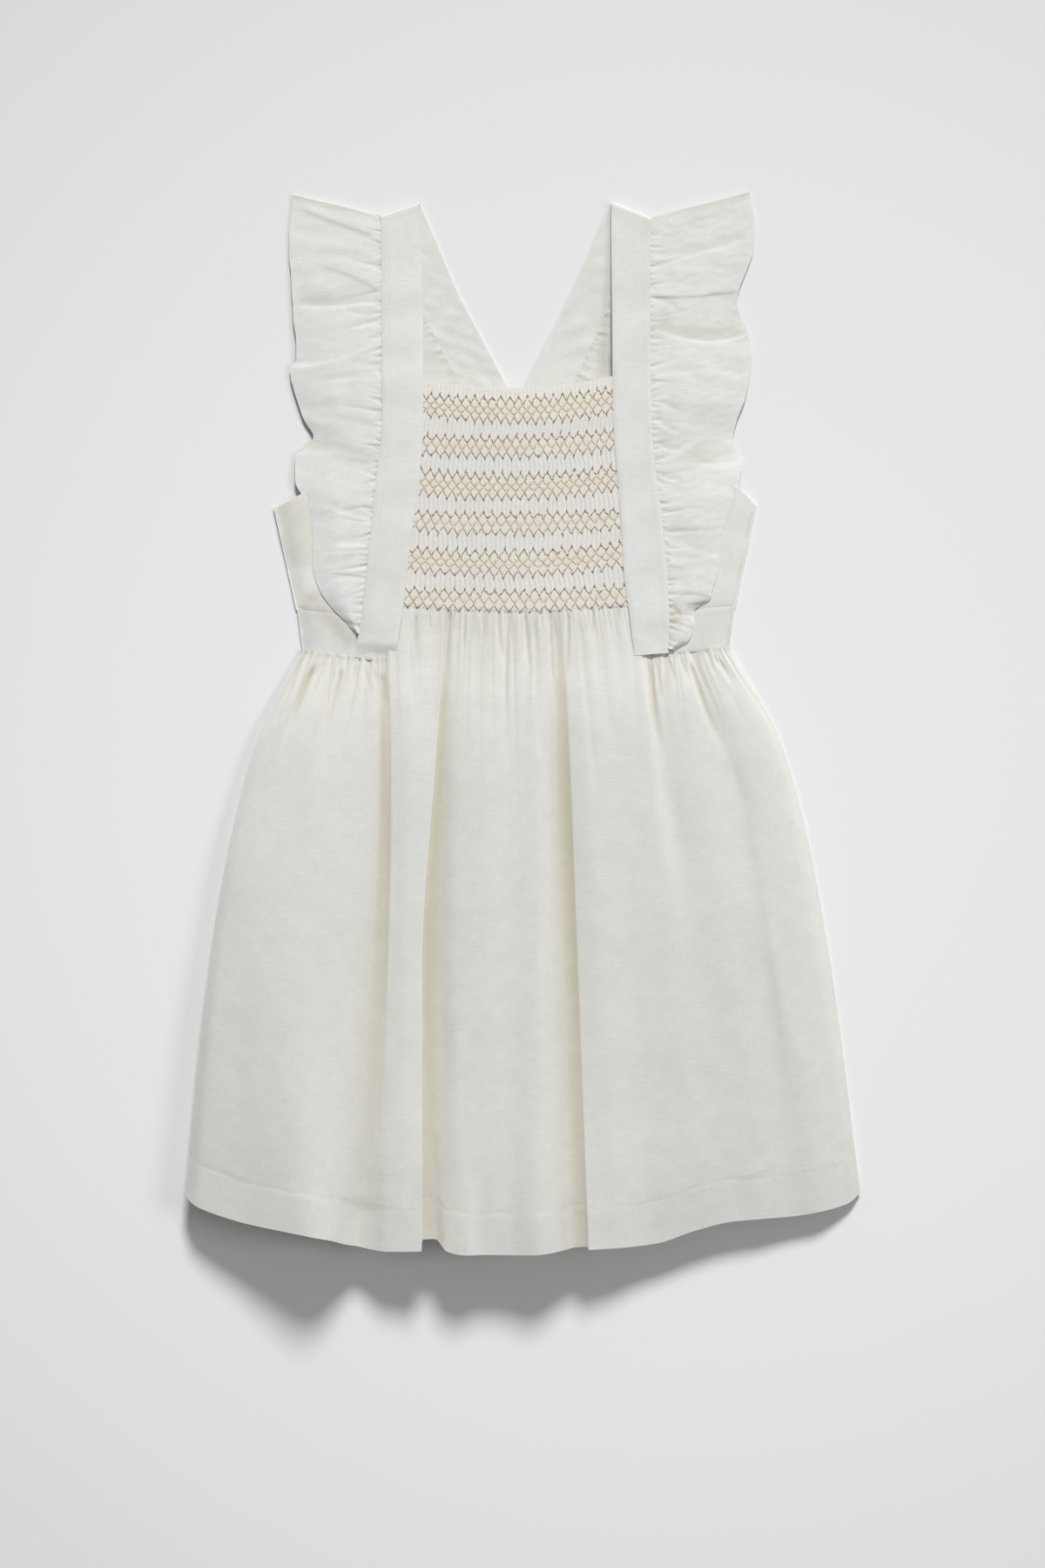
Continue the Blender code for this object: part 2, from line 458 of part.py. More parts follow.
def ruffle_points(sections, front, crest, back):
    """Ruffle from the strap's outer edge to its own free edge, over the shoulder."""
    edges = np.array([section[1:] for section in sections])
    dense = through(np.arange(len(sections)), edges, spread(len(sections), SEAM_STEPS))
    inner, outer = dense[:, :3], dense[:, 3:]
    away = outer - inner
    away[:, 2] = 0.0
    away /= np.linalg.norm(away, axis=1)[:, None]
    seam = outer + away * FACETED_GAP
    names = [section.name for section in sections]
    top = names.index(FOLD_CREST) * SEAM_STEPS
    branches = ((front, seam[: top + 1]), ((crest,), seam[top : top + 1]), (back, seam[top:]))
    half = np.array((0.0, 0.5, 1.0))
    lines = []
    for folds, branch in branches:
        order = np.argsort(branch[:, 1])
        level = branch[order]
        for fold in folds:
            start = np.array([np.interp(fold.y_seam, level[:, 1], level[:, k]) for k in range(3)])
            edge = np.array([fold.x_edge, fold.y_edge, fold.z_edge])
            middle = 0.5 * (start + edge)
            middle[2] = fold.z_mid
            lines.append(through(half, (start, middle, edge), np.linspace(0.0, 1.0, RUFFLE_COLUMNS)))
    across = spread(len(lines), RUFFLE_STEPS)
    return through(np.arange(len(lines)), np.array(lines), across)


def bodice_points(sections, gap=GAP):
    """Side piece or back bodice, from its free top edge down to the waistband seam."""
    table = np.array(sections)
    x_top, y_top, x_seam, z = through(np.arange(len(table)), table, spread(len(table), PANEL_STEPS)).T
    top = np.stack((x_top, y_top, z), axis=1)
    low = np.stack((x_seam, seam_y(BAND_SEAM, x_seam) + gap, z), axis=1)
    return between(top, low, PANEL_ROWS)


def band_points(sections):
    """Waistband between the bodice seam and the skirt seam."""
    table = np.array(sections)
    x_top, x_waist, z = through(np.arange(len(table)), table, spread(len(table), PANEL_STEPS)).T
    top = np.stack((x_top, seam_y(BAND_SEAM, x_top), z), axis=1)
    low = np.stack((x_waist, seam_y(WAIST_SEAM, x_waist), z), axis=1)
    return between(top, low, BAND_ROWS)


def between(first, last, rows):
    """Straight columns of points from each point of first to the same point of last."""
    share = np.linspace(0.0, 1.0, rows + 1)[None, :, None]
    return first[:, None] + (last - first)[:, None] * share


# ---------------------------------------------------------------------------------------------
# Objects
# ---------------------------------------------------------------------------------------------
def clear_scene():
    """Remove every object of the open file."""
    for item in list(bpy.data.objects):
        bpy.data.objects.remove(item, do_unlink=True)


def linen(name, colour):
    """Plain cloth material."""
    material = bpy.data.materials.new(name)
    material.use_nodes = True
    shader = material.node_tree.nodes["Principled BSDF"]
    shader.inputs["Base Color"].default_value = (*colour, 1.0)
    shader.inputs["Roughness"].default_value = LINEN_ROUGHNESS
    shader.inputs["Metallic"].default_value = 0.0
    return material


def cloth(collection, name, points, material, outer_up, keep=None):
    """Named sheet on points[column, row], thickened on its inner side.

    outer_up tells whether the outer face of the sheet's first cells looks up. keep tells, for a
    cell's column and row, whether it belongs to the piece.
    """
    columns, rows = points.shape[0] - 1, points.shape[1] - 1
    shape = bmesh.new()
    bmesh.ops.create_grid(shape, x_segments=columns, y_segments=rows, size=0.5)
    place = {}
    for vertex in shape.verts:
        column = round((vertex.co.x + 0.5) * columns)
        row = round((vertex.co.y + 0.5) * rows)
        place[vertex] = (column, row)
    dropped = []
    for face in shape.faces:
        column = min(place[vertex][0] for vertex in face.verts)
        row = min(place[vertex][1] for vertex in face.verts)
        if keep is not None and not keep(column, row):
            dropped.append(face)
    for vertex, (column, row) in place.items():
        x, y, z = points[column, row]
        vertex.co = ((x - CENTRE_X) * MM, (y - CENTRE_Y) * MM, z * MM)
    if dropped:
        bmesh.ops.delete(shape, geom=dropped, context="FACES")
    shape.faces.ensure_lookup_table()
    shape.normal_update()
    looks_up = shape.faces[0].normal.z > 0.0
    if looks_up != outer_up:
        bmesh.ops.reverse_faces(shape, faces=shape.faces[:])
    mesh = bpy.data.meshes.new(name)
    shape.to_mesh(mesh)
    shape.free()
    mesh.materials.append(material)
    mesh.shade_smooth()
    item = bpy.data.objects.new(name, mesh)
    collection.objects.link(item)
    wall = item.modifiers.new("wall", "SOLIDIFY")
    wall.thickness = WALL * MM
    wall.offset = -1.0
    wall.use_even_offset = False
    wall.use_quality_normals = True
    wall.use_rim = True
    return item


def front_panel(collection, material):
    """Smocked bib and skirt front, one piece of cloth."""
    skirt = skirt_points(FRONT_FOLDS, SKIRT_ROWS, SKIRT_STEPS, GAP)
    names = [fold.name for fold in FRONT_FOLDS]
    first = names.index(BIB_FROM) * SKIRT_STEPS
    last = names.index(BIB_TO) * SKIRT_STEPS
    bib = bib_points(skirt, first, last)
    above = np.repeat(skirt[:, :1], bib.shape[1], axis=1)
    above[first : last + 1] = bib
    points = np.concatenate((above, skirt), axis=1)
    bib_rows = bib.shape[1]

    def keep(column, row):
        return row >= bib_rows or first <= column < last

    return cloth(collection, "front_panel", points, material, True, keep)


def main():
    """Build the dress."""
    clear_scene()
    collection = bpy.data.collections.new(COLLECTION)
    bpy.context.scene.collection.children.link(collection)
    cream = linen("linen_front", FRONT_COLOUR)
    shade = linen("linen_back", BACK_COLOUR)
    trim = linen("linen_ruffle", RUFFLE_COLOUR)
    tape = linen("linen_strap", STRAP_COLOUR)

    front_panel(collection, cream)
    back = skirt_points(BACK_FOLDS, BACK_ROWS, BACK_STEPS, FACETED_GAP)
    cloth(collection, "skirt_back", back, shade, False)
    cloth(collection, "back_bodice", bodice_points(BACK_BODICE, FACETED_GAP), shade, False)
    cloth(collection, "waistband_back", band_points(BAND_BACK), shade, False)
    cloth(collection, "waistband_left", band_points(BAND_LEFT), cream, True)
    cloth(collection, "waistband_right", band_points(BAND_RIGHT), cream, True)
    cloth(collection, "side_left", bodice_points(SIDE_LEFT), cream, True)
    cloth(collection, "side_right", bodice_points(SIDE_RIGHT), cream, True)
    sides = (
        ("left", STRAP_LEFT, RUFFLE_LEFT_FRONT, RUFFLE_LEFT_CREST, RUFFLE_LEFT_BACK),
        ("right", STRAP_RIGHT, RUFFLE_RIGHT_FRONT, RUFFLE_RIGHT_CREST, RUFFLE_RIGHT_BACK),
    )
    for side, sections, front, crest, back_folds in sides:
        cloth(collection, "strap_" + side, strap_points(sections), tape, True)
        ruffle = ruffle_points(sections, front, crest, back_folds)
        cloth(collection, "ruffle_" + side, ruffle, trim, True)


main()
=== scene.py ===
"""Toddler pinafore dress in off-white linen, lying flat on its back with the front up.

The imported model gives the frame, in metres: +X to the right as the dress lies, +Y from hem to
shoulders and +Z up. Each piece of cloth is a sheet of points in millimetres on the form of its solid,
with the finer folds, gathers and smocking added, and gets a thin wall on its inner side.
"""

import logging
import math
from collections import namedtuple
from dataclasses import dataclass
from enum import Enum

import bpy
import numpy as np
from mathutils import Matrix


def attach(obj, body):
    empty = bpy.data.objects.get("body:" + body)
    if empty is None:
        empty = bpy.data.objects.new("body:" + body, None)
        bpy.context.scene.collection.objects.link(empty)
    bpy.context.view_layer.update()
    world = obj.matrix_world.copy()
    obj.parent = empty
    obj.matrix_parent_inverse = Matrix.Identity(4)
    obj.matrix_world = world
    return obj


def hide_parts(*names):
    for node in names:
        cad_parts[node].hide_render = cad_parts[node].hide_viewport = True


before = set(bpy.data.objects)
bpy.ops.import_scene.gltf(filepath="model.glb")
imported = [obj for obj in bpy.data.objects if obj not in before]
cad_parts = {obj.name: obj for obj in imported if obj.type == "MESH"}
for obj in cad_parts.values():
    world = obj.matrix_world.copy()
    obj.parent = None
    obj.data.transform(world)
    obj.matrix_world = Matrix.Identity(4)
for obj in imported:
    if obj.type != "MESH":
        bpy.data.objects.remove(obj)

LOG = logging.getLogger("pinafore")
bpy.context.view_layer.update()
BODY = "root"
MM = 0.001

# The tables are measured from a point of the bodice; this point is the origin of the frame.
CENTRE = np.array((0.55, -0.15, 0.0))
SEAM_GAP = 0.3
FINE_STEPS = 2000
RUFFLE_GAP = 0.5
# Share of a crease's length over which it comes or goes at the least.
SHORTEST_EASE = 0.02


def rows(kind: type, *values: tuple) -> tuple:
    """One entry of the given kind for each row of values."""
    return tuple(kind(*row) for row in values)


def number_of(table: tuple, name: str) -> int:
    """Number of the entry of a table that has the name."""
    return [entry.name for entry in table].index(name)


# ---------------------------------------------------------------------------------------------
# Seam lines and the form of each piece, in millimetres
# ---------------------------------------------------------------------------------------------
SeamPoint = namedtuple("SeamPoint", "x y")

WAIST_SEAM = rows(
    SeamPoint,
    (-115.0, 35.8), (-87.0, 32.0), (-66.0, 31.1), (58.0, 33.3), (76.0, 34.7), (108.0, 37.6),
)
BAND_SEAM = rows(
    SeamPoint,
    (-118.0, 58.7), (-107.0, 56.7), (-92.0, 54.9), (-76.0, 53.1), (70.0, 55.1), (85.5, 57.4),
    (100.0, 58.7), (111.0, 59.9),
)

# One row for each fold line of the skirt, from the left side seam to the right one: x and z of the
# outer face at the waist, upper, lower and hem level, and y at the hem.
FoldLine = namedtuple(
    "FoldLine",
    "name x_waist x_upper x_lower x_hem z_waist z_upper z_lower z_hem y_hem",
)
SKIRT_LEVELS = (0.0, 0.19, 0.54, 1.0)
# How much the waist and the lower level count in the spacing of the columns.
WAIST_AND_LOWER = (0.42, 0.58)

FRONT_FOLDS = rows(
    FoldLine,
    ("seam_left", -114.6, -139.7, -160.1, -173.3, 2.7, 6.0, 10.0, 14.0, -244.7),
    ("round_left", -112.8, -135.9, -155.8, -168.5, 4.0, 9.0, 14.5, 19.5, -248.6),
    ("left_flank", -107.8, -127.3, -143.1, -146.0, 5.0, 12.0, 19.0, 27.0, -256.3),
    ("left_crest", -96.1, -105.7, -115.9, -109.0, 5.6, 15.0, 27.0, 43.0, -263.0),
    ("left_slope", -83.1, -85.1, -92.0, -97.5, 5.8, 14.0, 22.0, 36.0, -265.6),
    ("strip_1_bank", -74.8, -75.3, -80.6, -90.5, 6.3, 10.0, 15.0, 25.0, -268.3),
    ("strip_1_floor", -72.0, -72.3, -74.9, -84.0, 6.5, 7.5, 11.5, 19.0, -269.8),
    ("strip_1_under", -69.8, -68.4, -70.1, -77.0, 6.8, 9.5, 14.0, 21.5, -271.2),
    ("strip_1_lip", -68.0, -67.4, -69.1, -69.5, 7.3, 11.5, 15.5, 26.5, -271.9),
    ("ridge_1_2", -59.2, -57.3, -60.3, -59.3, 8.3, 16.5, 22.0, 28.0, -271.8),
    ("strip_2_lip", -41.3, -45.2, -51.8, -51.7, 8.2, 13.5, 18.0, 29.0, -271.4),
    ("strip_2_under", -41.0, -44.9, -51.4, -51.3, 7.8, 11.0, 14.0, 26.0, -265.8),
    ("strip_2_floor", -39.3, -43.5, -49.4, -44.8, 7.2, 7.5, 11.5, 26.0, -265.4),
    ("strip_2_bank", -36.8, -39.5, -42.1, -38.5, 7.7, 10.0, 13.0, 30.0, -271.6),
    ("centre_left", -30.1, -32.2, -33.1, -28.5, 9.0, 14.5, 20.5, 31.0, -273.5),
    ("centre_crest_a", -19.3, -19.7, -20.5, -19.6, 9.4, 16.5, 23.5, 27.0, -273.5),
    ("centre_dip", -5.4, -5.4, -6.3, -7.1, 8.6, 14.0, 21.0, 27.5, -273.6),
    ("centre_crest_b", 7.2, 6.7, 7.6, 7.6, 9.4, 16.5, 24.5, 32.0, -273.3),
    ("strip_3_bank", 15.3, 14.8, 17.9, 21.4, 8.0, 10.5, 15.0, 26.0, -271.2),
    ("strip_3_floor", 18.9, 20.2, 24.2, 27.3, 7.2, 7.5, 11.5, 23.0, -269.9),
    ("strip_3_under", 21.4, 24.3, 28.3, 33.4, 7.7, 10.6, 14.6, 25.6, -269.5),
    ("strip_3_lip", 22.3, 24.9, 28.9, 34.0, 8.3, 11.3, 15.4, 26.4, -271.0),
    ("right_crest", 30.5, 34.5, 40.2, 47.3, 9.3, 16.0, 21.0, 23.0, -270.5),
    ("right_dip", 47.6, 52.9, 59.5, 68.0, 8.2, 13.5, 16.5, 17.0, -268.6),
    ("right_roll", 61.6, 65.0, 75.2, 88.6, 7.2, 13.5, 17.0, 16.0, -262.0),
    ("right_valley", 68.4, 73.6, 89.6, 106.6, 6.0, 9.5, 14.5, 15.0, -257.6),
    ("right_fold", 78.1, 87.9, 106.5, 122.7, 5.8, 11.5, 15.5, 14.0, -256.1),
    ("outer_valley", 87.1, 105.0, 123.7, 139.9, 5.0, 7.5, 11.0, 11.0, -254.8),
    ("outer_fold", 96.2, 114.8, 131.3, 152.5, 4.6, 9.5, 13.0, 10.5, -252.8),
    ("round_right", 104.3, 130.7, 151.3, 168.9, 3.6, 5.5, 7.0, 5.0, -248.2),
    ("seam_right", 107.5, 135.3, 157.4, 174.4, 2.7, 2.7, 2.7, 2.7, -243.0),
)
BIB_FROM = "strip_1_under"
BIB_TO = "right_roll"

# Painted warmer shade in the deep folds at the four levels, from 0 to 1; the other folds have none.
FoldShade = namedtuple("FoldShade", "name waist upper lower hem")
FOLD_SHADES = rows(
    FoldShade,
    ("strip_1_bank", 0.1, 0.2, 0.3, 0.05),
    ("strip_1_floor", 0.5, 0.85, 0.7, 0.12),
    ("strip_1_under", 0.4, 0.6, 0.6, 0.05),
    ("strip_2_under", 0.5, 0.9, 1.0, 0.7),
    ("strip_2_floor", 0.6, 1.0, 1.0, 0.55),
    ("strip_2_bank", 0.2, 0.55, 0.5, 0.25),
    ("strip_3_bank", 0.2, 0.3, 0.3, 0.25),
    ("strip_3_floor", 0.5, 1.0, 0.9, 0.5),
    ("strip_3_under", 0.5, 1.0, 1.0, 0.6),
)

BACK_FOLDS = rows(
    FoldLine,
    ("seam_left", -113.8, -138.9, -159.2, -172.3, 0.0, 3.3, 7.3, 11.3, -238.7),
    ("roll_left", -110.0, -133.0, -151.0, -163.0, 0.0, 0.8, 2.6, 4.2, -242.5),
    ("rest_left", -104.0, -125.0, -141.0, -152.0, 0.0, 0.0, 0.0, 0.0, -246.5),
    ("rest_a", -88.0, -104.0, -114.0, -121.0, 0.0, 0.0, 0.0, 0.0, -254.0),
    ("ripple_a", -74.0, -86.0, -95.0, -99.0, 0.0, 1.4, 2.0, 2.4, -258.5),
    ("rest_b", -60.0, -70.0, -77.0, -80.0, 0.0, 0.0, 0.0, 0.0, -262.0),
    ("rest_c", -38.0, -44.0, -48.0, -50.0, 0.0, 0.0, 0.0, 0.0, -265.0),
    ("ripple_b", -22.0, -26.0, -28.0, -27.0, 0.0, 1.6, 2.2, 2.6, -267.0),
    ("rest_d", -6.0, -8.0, -9.0, -7.0, 0.0, 0.0, 0.0, 0.0, -267.5),
    ("rest_e", 18.0, 20.0, 22.0, 25.0, 0.0, 0.0, 0.0, 0.0, -266.5),
    ("ripple_c", 36.0, 41.0, 45.0, 50.0, 0.0, 1.5, 2.0, 2.2, -264.5),
    ("rest_f", 52.0, 60.0, 67.0, 74.0, 0.0, 0.0, 0.0, 0.0, -260.0),
    ("rest_g", 76.0, 92.0, 106.0, 117.0, 0.0, 0.0, 0.0, 0.0, -250.5),
    ("rest_right", 97.0, 121.0, 140.0, 154.0, 0.0, 0.0, 0.0, 0.0, -243.5),
    ("seam_right", 106.7, 134.5, 156.5, 173.4, 0.0, 0.0, 0.0, 0.0, -236.0),
)

# Side edges of the bib under the straps; y is taken at its middle, and gathers is the share of the
# skirt's own heights that has come in by then.
BibSide = namedtuple("BibSide", "name left right y gathers")
BIB_SIDES = rows(
    BibSide,
    ("waist", -69.8, 61.6, 32.0, 1.0),
    ("below_smocking", -65.8, 57.6, 55.5, 0.25),
    ("lower_bands", -62.3, 54.6, 87.0, 0.0),
    ("middle_bands", -57.3, 52.4, 121.8, 0.0),
    ("neckline", -55.0, 50.2, 171.6, 0.0),
)

BodiceSection = namedtuple("BodiceSection", "x_top y_top x_seam z")
BandSection = namedtuple("BandSection", "x_top x_waist z")
SIDE_LEFT = rows(
    BodiceSection,
    (-128.5, 109.5, -117.0, 2.7), (-115.0, 116.8, -107.0, 4.0), (-95.5, 127.0, -92.5, 5.0),
    (-69.5, 136.5, -76.5, 6.1),
)
SIDE_RIGHT = rows(
    BodiceSection,
    (68.0, 136.5, 69.5, 6.1), (92.5, 129.0, 85.5, 5.0), (112.0, 119.6, 100.0, 4.0),
    (120.8, 111.4, 110.0, 2.7),
)
BAND_LEFT = rows(
    BandSection,
    (-116.6, -113.6, 2.7), (-107.0, -105.3, 4.0), (-92.5, -91.5, 5.0), (-76.5, -77.0, 6.1),
)
BAND_RIGHT = rows(
    BandSection,
    (69.5, 68.6, 6.1), (85.5, 84.0, 5.0), (100.0, 98.0, 4.0), (109.8, 106.8, 2.7),
)
BACK_BODICE = rows(
    BodiceSection,
    (-127.2, 108.6, -115.8, 0.0), (-114.0, 115.5, -104.0, 0.0), (-84.0, 111.0, -78.0, 0.0),
    (-40.0, 103.9, -38.0, 0.0), (-1.5, 103.6, -1.0, 0.0), (36.0, 103.9, 33.0, 0.0),
    (80.0, 113.0, 72.0, 0.0), (111.0, 118.3, 98.0, 0.0), (119.5, 110.5, 108.8, 0.0),
)
BAND_BACK = rows(
    BandSection,
    (-115.6, -112.6, 0.0), (-76.0, -75.0, 0.0), (-30.0, -30.0, 0.0), (30.0, 30.0, 0.0),
    (70.0, 69.0, 0.0), (108.8, 105.8, 0.0),
)

# One row for each section of a strap: inner and outer edge of its outer face.
StrapSection = namedtuple("StrapSection", "name x_in y_in z_in x_out y_out z_out")
STRAP_LEFT = rows(
    StrapSection,
    ("front_end", -65.9, 31.6, 9.5, -86.6, 32.9, 7.6),
    ("over_band", -64.2, 41.6, 9.2, -84.8, 43.9, 8.2),
    ("band_seam", -62.4, 51.9, 9.2, -83.0, 54.6, 9.2),
    ("low_bib", -59.2, 77.5, 9.2, -80.3, 79.8, 9.2),
    ("mid_bib", -55.6, 105.8, 9.2, -77.2, 108.5, 9.2),
    ("high_bib", -52.9, 126.9, 9.2, -74.9, 131.3, 9.2),
    ("chest", -51.1, 156.0, 9.2, -72.4, 156.0, 9.2),
    ("over_neckline", -51.1, 209.0, 9.2, -72.7, 209.0, 9.2),
    ("under_fold", -52.9, 253.8, 9.2, -73.1, 248.0, 9.2),
    ("fold_start", -53.4, 264.6, 9.2, -73.1, 258.2, 9.2),
    ("fold_upper", -53.7, 267.1, 8.0, -73.4, 260.5, 8.0),
    ("fold_crest", -53.6, 267.7, 4.6, -73.6, 261.0, 4.6),
    ("fold_lower", -52.8, 266.5, 1.4, -72.8, 259.4, 1.4),
    ("fold_end", -51.3, 263.2, 0.0, -71.1, 254.7, 0.0),
    ("back_high", -43.2, 244.4, 0.0, -62.6, 234.9, 0.0),
    ("back_a", -33.3, 221.0, 0.0, -52.7, 212.0, 0.0),
    ("back_b", -21.2, 198.0, 0.0, -41.4, 189.9, 0.0),
    ("back_c", -9.0, 175.1, 0.0, -29.3, 167.9, 0.0),
    ("crossing", 5.0, 148.1, 0.0, -15.3, 140.0, 0.0),
    ("past_crossing", 21.6, 117.0, 0.0, 1.4, 108.0, 0.0),
    ("back_end", 27.6, 105.3, 0.0, 3.4, 104.3, 0.0),
)
STRAP_RIGHT = rows(
    StrapSection,
    ("front_end", 57.9, 33.8, 9.4, 75.4, 35.1, 7.6),
    ("over_band", 56.5, 43.0, 9.2, 75.8, 45.2, 8.2),
    ("band_seam", 55.2, 54.2, 9.2, 75.6, 56.0, 9.2),
    ("low_bib", 52.0, 79.8, 9.2, 74.2, 81.5, 9.2),
    ("mid_bib", 50.7, 105.8, 9.2, 71.8, 105.8, 9.2),
    ("high_bib", 48.4, 133.1, 9.2, 68.2, 133.1, 9.2),
    ("chest", 46.7, 156.0, 9.2, 66.6, 156.0, 9.2),
    ("over_neckline", 46.2, 209.0, 9.2, 65.9, 209.0, 9.2),
    ("under_fold", 45.8, 253.8, 9.2, 65.9, 248.0, 9.2),
    ("fold_start", 45.8, 265.0, 9.2, 66.2, 257.3, 9.2),
    ("fold_upper", 46.2, 267.6, 8.0, 66.6, 259.4, 8.0),
    ("fold_crest", 46.4, 268.2, 4.6, 66.7, 259.9, 4.6),
    ("fold_lower", 45.6, 267.0, 1.4, 65.8, 258.4, 1.4),
    ("fold_end", 43.7, 263.0, 0.0, 63.5, 253.4, 0.0),
    ("back_high", 34.2, 241.2, 0.0, 53.6, 232.2, 0.0),
    ("back_a", 24.3, 219.2, 0.0, 43.7, 210.2, 0.0),
    ("back_b", 13.1, 194.9, 0.4, 32.4, 185.6, 0.4),
    ("back_c", 2.7, 173.3, 1.6, 22.1, 164.0, 1.6),
    ("crossing", -10.4, 146.3, 1.6, 9.0, 136.8, 1.6),
    ("past_crossing", -19.4, 127.4, 1.6, 0.0, 118.1, 1.6),
    ("near_bodice", -24.3, 117.0, 1.0, -5.0, 107.8, 1.0),
    ("back_end", -29.6, 105.3, 0.0, -6.8, 104.3, 0.0),
)
FOLD_CREST = "fold_crest"

# One row for each fold of a ruffle: where it leaves the strap, where it reaches the free edge, and
# the height of the outer face halfway out and at the edge.
RuffleFold = namedtuple("RuffleFold", "name y_seam x_edge y_edge z_mid z_edge")
RUFFLE_LEFT_FRONT = rows(
    RuffleFold,
    ("end", 45.2, -86.0, 45.1, 8.4, 8.4),
    ("end_ridge", 51.9, -91.4, 51.4, 9.2, 10.0),
    ("valley_1", 61.8, -99.9, 60.3, 8.0, 8.2),
    ("ridge_1", 71.7, -104.8, 68.0, 10.2, 12.0),
    ("valley_2", 84.3, -108.0, 78.7, 7.6, 8.2),
    ("ridge_2", 94.1, -108.0, 90.8, 10.5, 13.0),
    ("valley_3", 104.9, -108.9, 102.9, 8.0, 9.0),
    ("ridge_3", 115.7, -112.4, 114.1, 11.0, 13.0),
    ("ridge_4", 125.5, -117.4, 124.4, 10.5, 12.0),
    ("pocket_lower", 133.6, -117.4, 136.4, 9.5, 10.5),
    ("pocket_floor", 136.8, -111.1, 141.8, 7.2, 7.6),
    ("pocket_lip", 140.9, -108.0, 147.2, 10.0, 13.0),
    ("ridge_5", 148.4, -112.9, 155.8, 11.5, 15.0),
    ("valley_5", 156.9, -116.5, 166.0, 9.2, 11.0),
    ("ridge_6", 167.2, -119.6, 177.0, 10.5, 13.0),
    ("tip_under", 180.2, -120.0, 182.2, 8.6, 10.0),
    ("tip_lip", 188.7, -116.8, 186.4, 10.5, 14.0),
    ("ridge_7", 197.4, -116.9, 196.2, 12.0, 15.0),
    ("ridge_8", 207.3, -118.3, 206.9, 10.8, 13.0),
    ("valley_8", 216.5, -118.7, 215.0, 7.8, 8.8),
    ("ridge_9", 223.4, -119.2, 221.3, 10.5, 14.0),
    ("ridge_10", 231.0, -119.6, 230.7, 11.0, 15.0),
    ("valley_10", 239.8, -120.5, 240.9, 9.2, 12.0),
    ("ridge_11", 245.4, -120.5, 250.6, 11.0, 14.0),
    ("valley_11", 249.8, -119.6, 260.0, 9.8, 12.0),
    ("ridge_12", 254.8, -119.0, 267.6, 9.8, 11.5),
)
RUFFLE_LEFT_CREST = RuffleFold("shoulder", 261.0, -118.7, 272.0, 5.4, 2.8)
RUFFLE_LEFT_BACK = rows(
    RuffleFold,
    ("back_top", 254.0, -116.5, 267.0, 1.2, 1.4),
    ("back_valley_1", 238.0, -114.3, 244.0, 0.0, 0.0),
    ("back_ridge_1", 224.0, -109.8, 223.0, 1.8, 2.4),
    ("back_valley_2", 210.0, -101.7, 204.5, 0.0, 0.0),
    ("back_ridge_2", 198.0, -90.9, 189.0, 1.8, 2.4),
    ("back_valley_3", 187.2, -77.4, 176.4, 0.0, 0.0),
    ("back_ridge_3", 176.4, -62.1, 166.5, 1.6, 2.2),
    ("back_valley_4", 168.4, -47.5, 161.1, 0.0, 0.0),
    ("back_end", 160.3, -30.5, 157.0, 0.0, 0.0),
)
RUFFLE_RIGHT_FRONT = rows(
    RuffleFold,
    ("end", 37.5, 78.4, 36.6, 7.8, 7.8),
    ("end_lobe", 42.8, 86.0, 42.0, 8.8, 8.8),
    ("lobe_ridge", 49.4, 88.7, 50.0, 10.2, 10.5),
    ("knot_under", 54.9, 88.4, 56.4, 8.6, 8.8),
    ("knot_floor", 58.2, 91.5, 59.6, 7.4, 7.4),
    ("tip_lip", 61.6, 96.8, 62.8, 10.4, 12.5),
    ("tip_ridge", 66.0, 98.1, 68.0, 10.5, 12.5),
    ("ridge_1", 73.5, 100.8, 76.1, 10.5, 13.0),
    ("valley_1", 82.0, 102.1, 85.0, 7.8, 8.8),
    ("bank_1", 90.0, 102.6, 91.5, 9.3, 11.0),
    ("ridge_2", 98.8, 103.5, 98.6, 10.8, 13.5),
    ("ridge_3", 108.7, 106.6, 108.5, 11.5, 15.0),
    ("valley_3", 119.3, 111.1, 118.6, 9.5, 12.0),
    ("ridge_4", 126.4, 112.4, 127.0, 10.6, 14.0),
    ("pocket_lower", 131.7, 113.3, 134.4, 9.6, 12.0),
    ("pocket_floor", 136.0, 110.6, 139.2, 7.2, 7.4),
    ("pocket_lip", 141.5, 108.4, 145.0, 10.2, 13.0),
    ("ridge_5", 149.8, 110.7, 155.4, 12.0, 15.0),
    ("ridge_6", 160.5, 115.1, 167.0, 12.2, 15.0),
    ("valley_6", 171.7, 117.4, 179.1, 9.8, 12.0),
    ("ridge_7", 182.9, 118.3, 189.4, 11.5, 14.5),
    ("ridge_8", 192.3, 116.9, 197.5, 11.0, 14.0),
    ("lobe_bank", 198.9, 115.6, 202.9, 9.0, 11.0),
    ("lobe_floor", 206.6, 112.4, 209.6, 7.2, 8.0),
    ("lobe_top", 213.7, 110.7, 216.9, 7.6, 8.8),
    ("lobe_lip", 219.9, 112.0, 223.4, 10.5, 13.0),
    ("ridge_9", 228.7, 115.6, 232.4, 11.5, 15.0),
    ("valley_9", 238.4, 119.2, 243.2, 9.6, 12.0),
    ("ridge_10", 244.8, 120.1, 253.8, 11.5, 14.0),
    ("valley_10", 249.6, 119.6, 262.3, 10.0, 12.0),
    ("ridge_11", 254.2, 118.3, 268.9, 10.0, 11.5),
)
RUFFLE_RIGHT_CREST = RuffleFold("shoulder", 259.9, 116.9, 273.4, 5.4, 2.0)
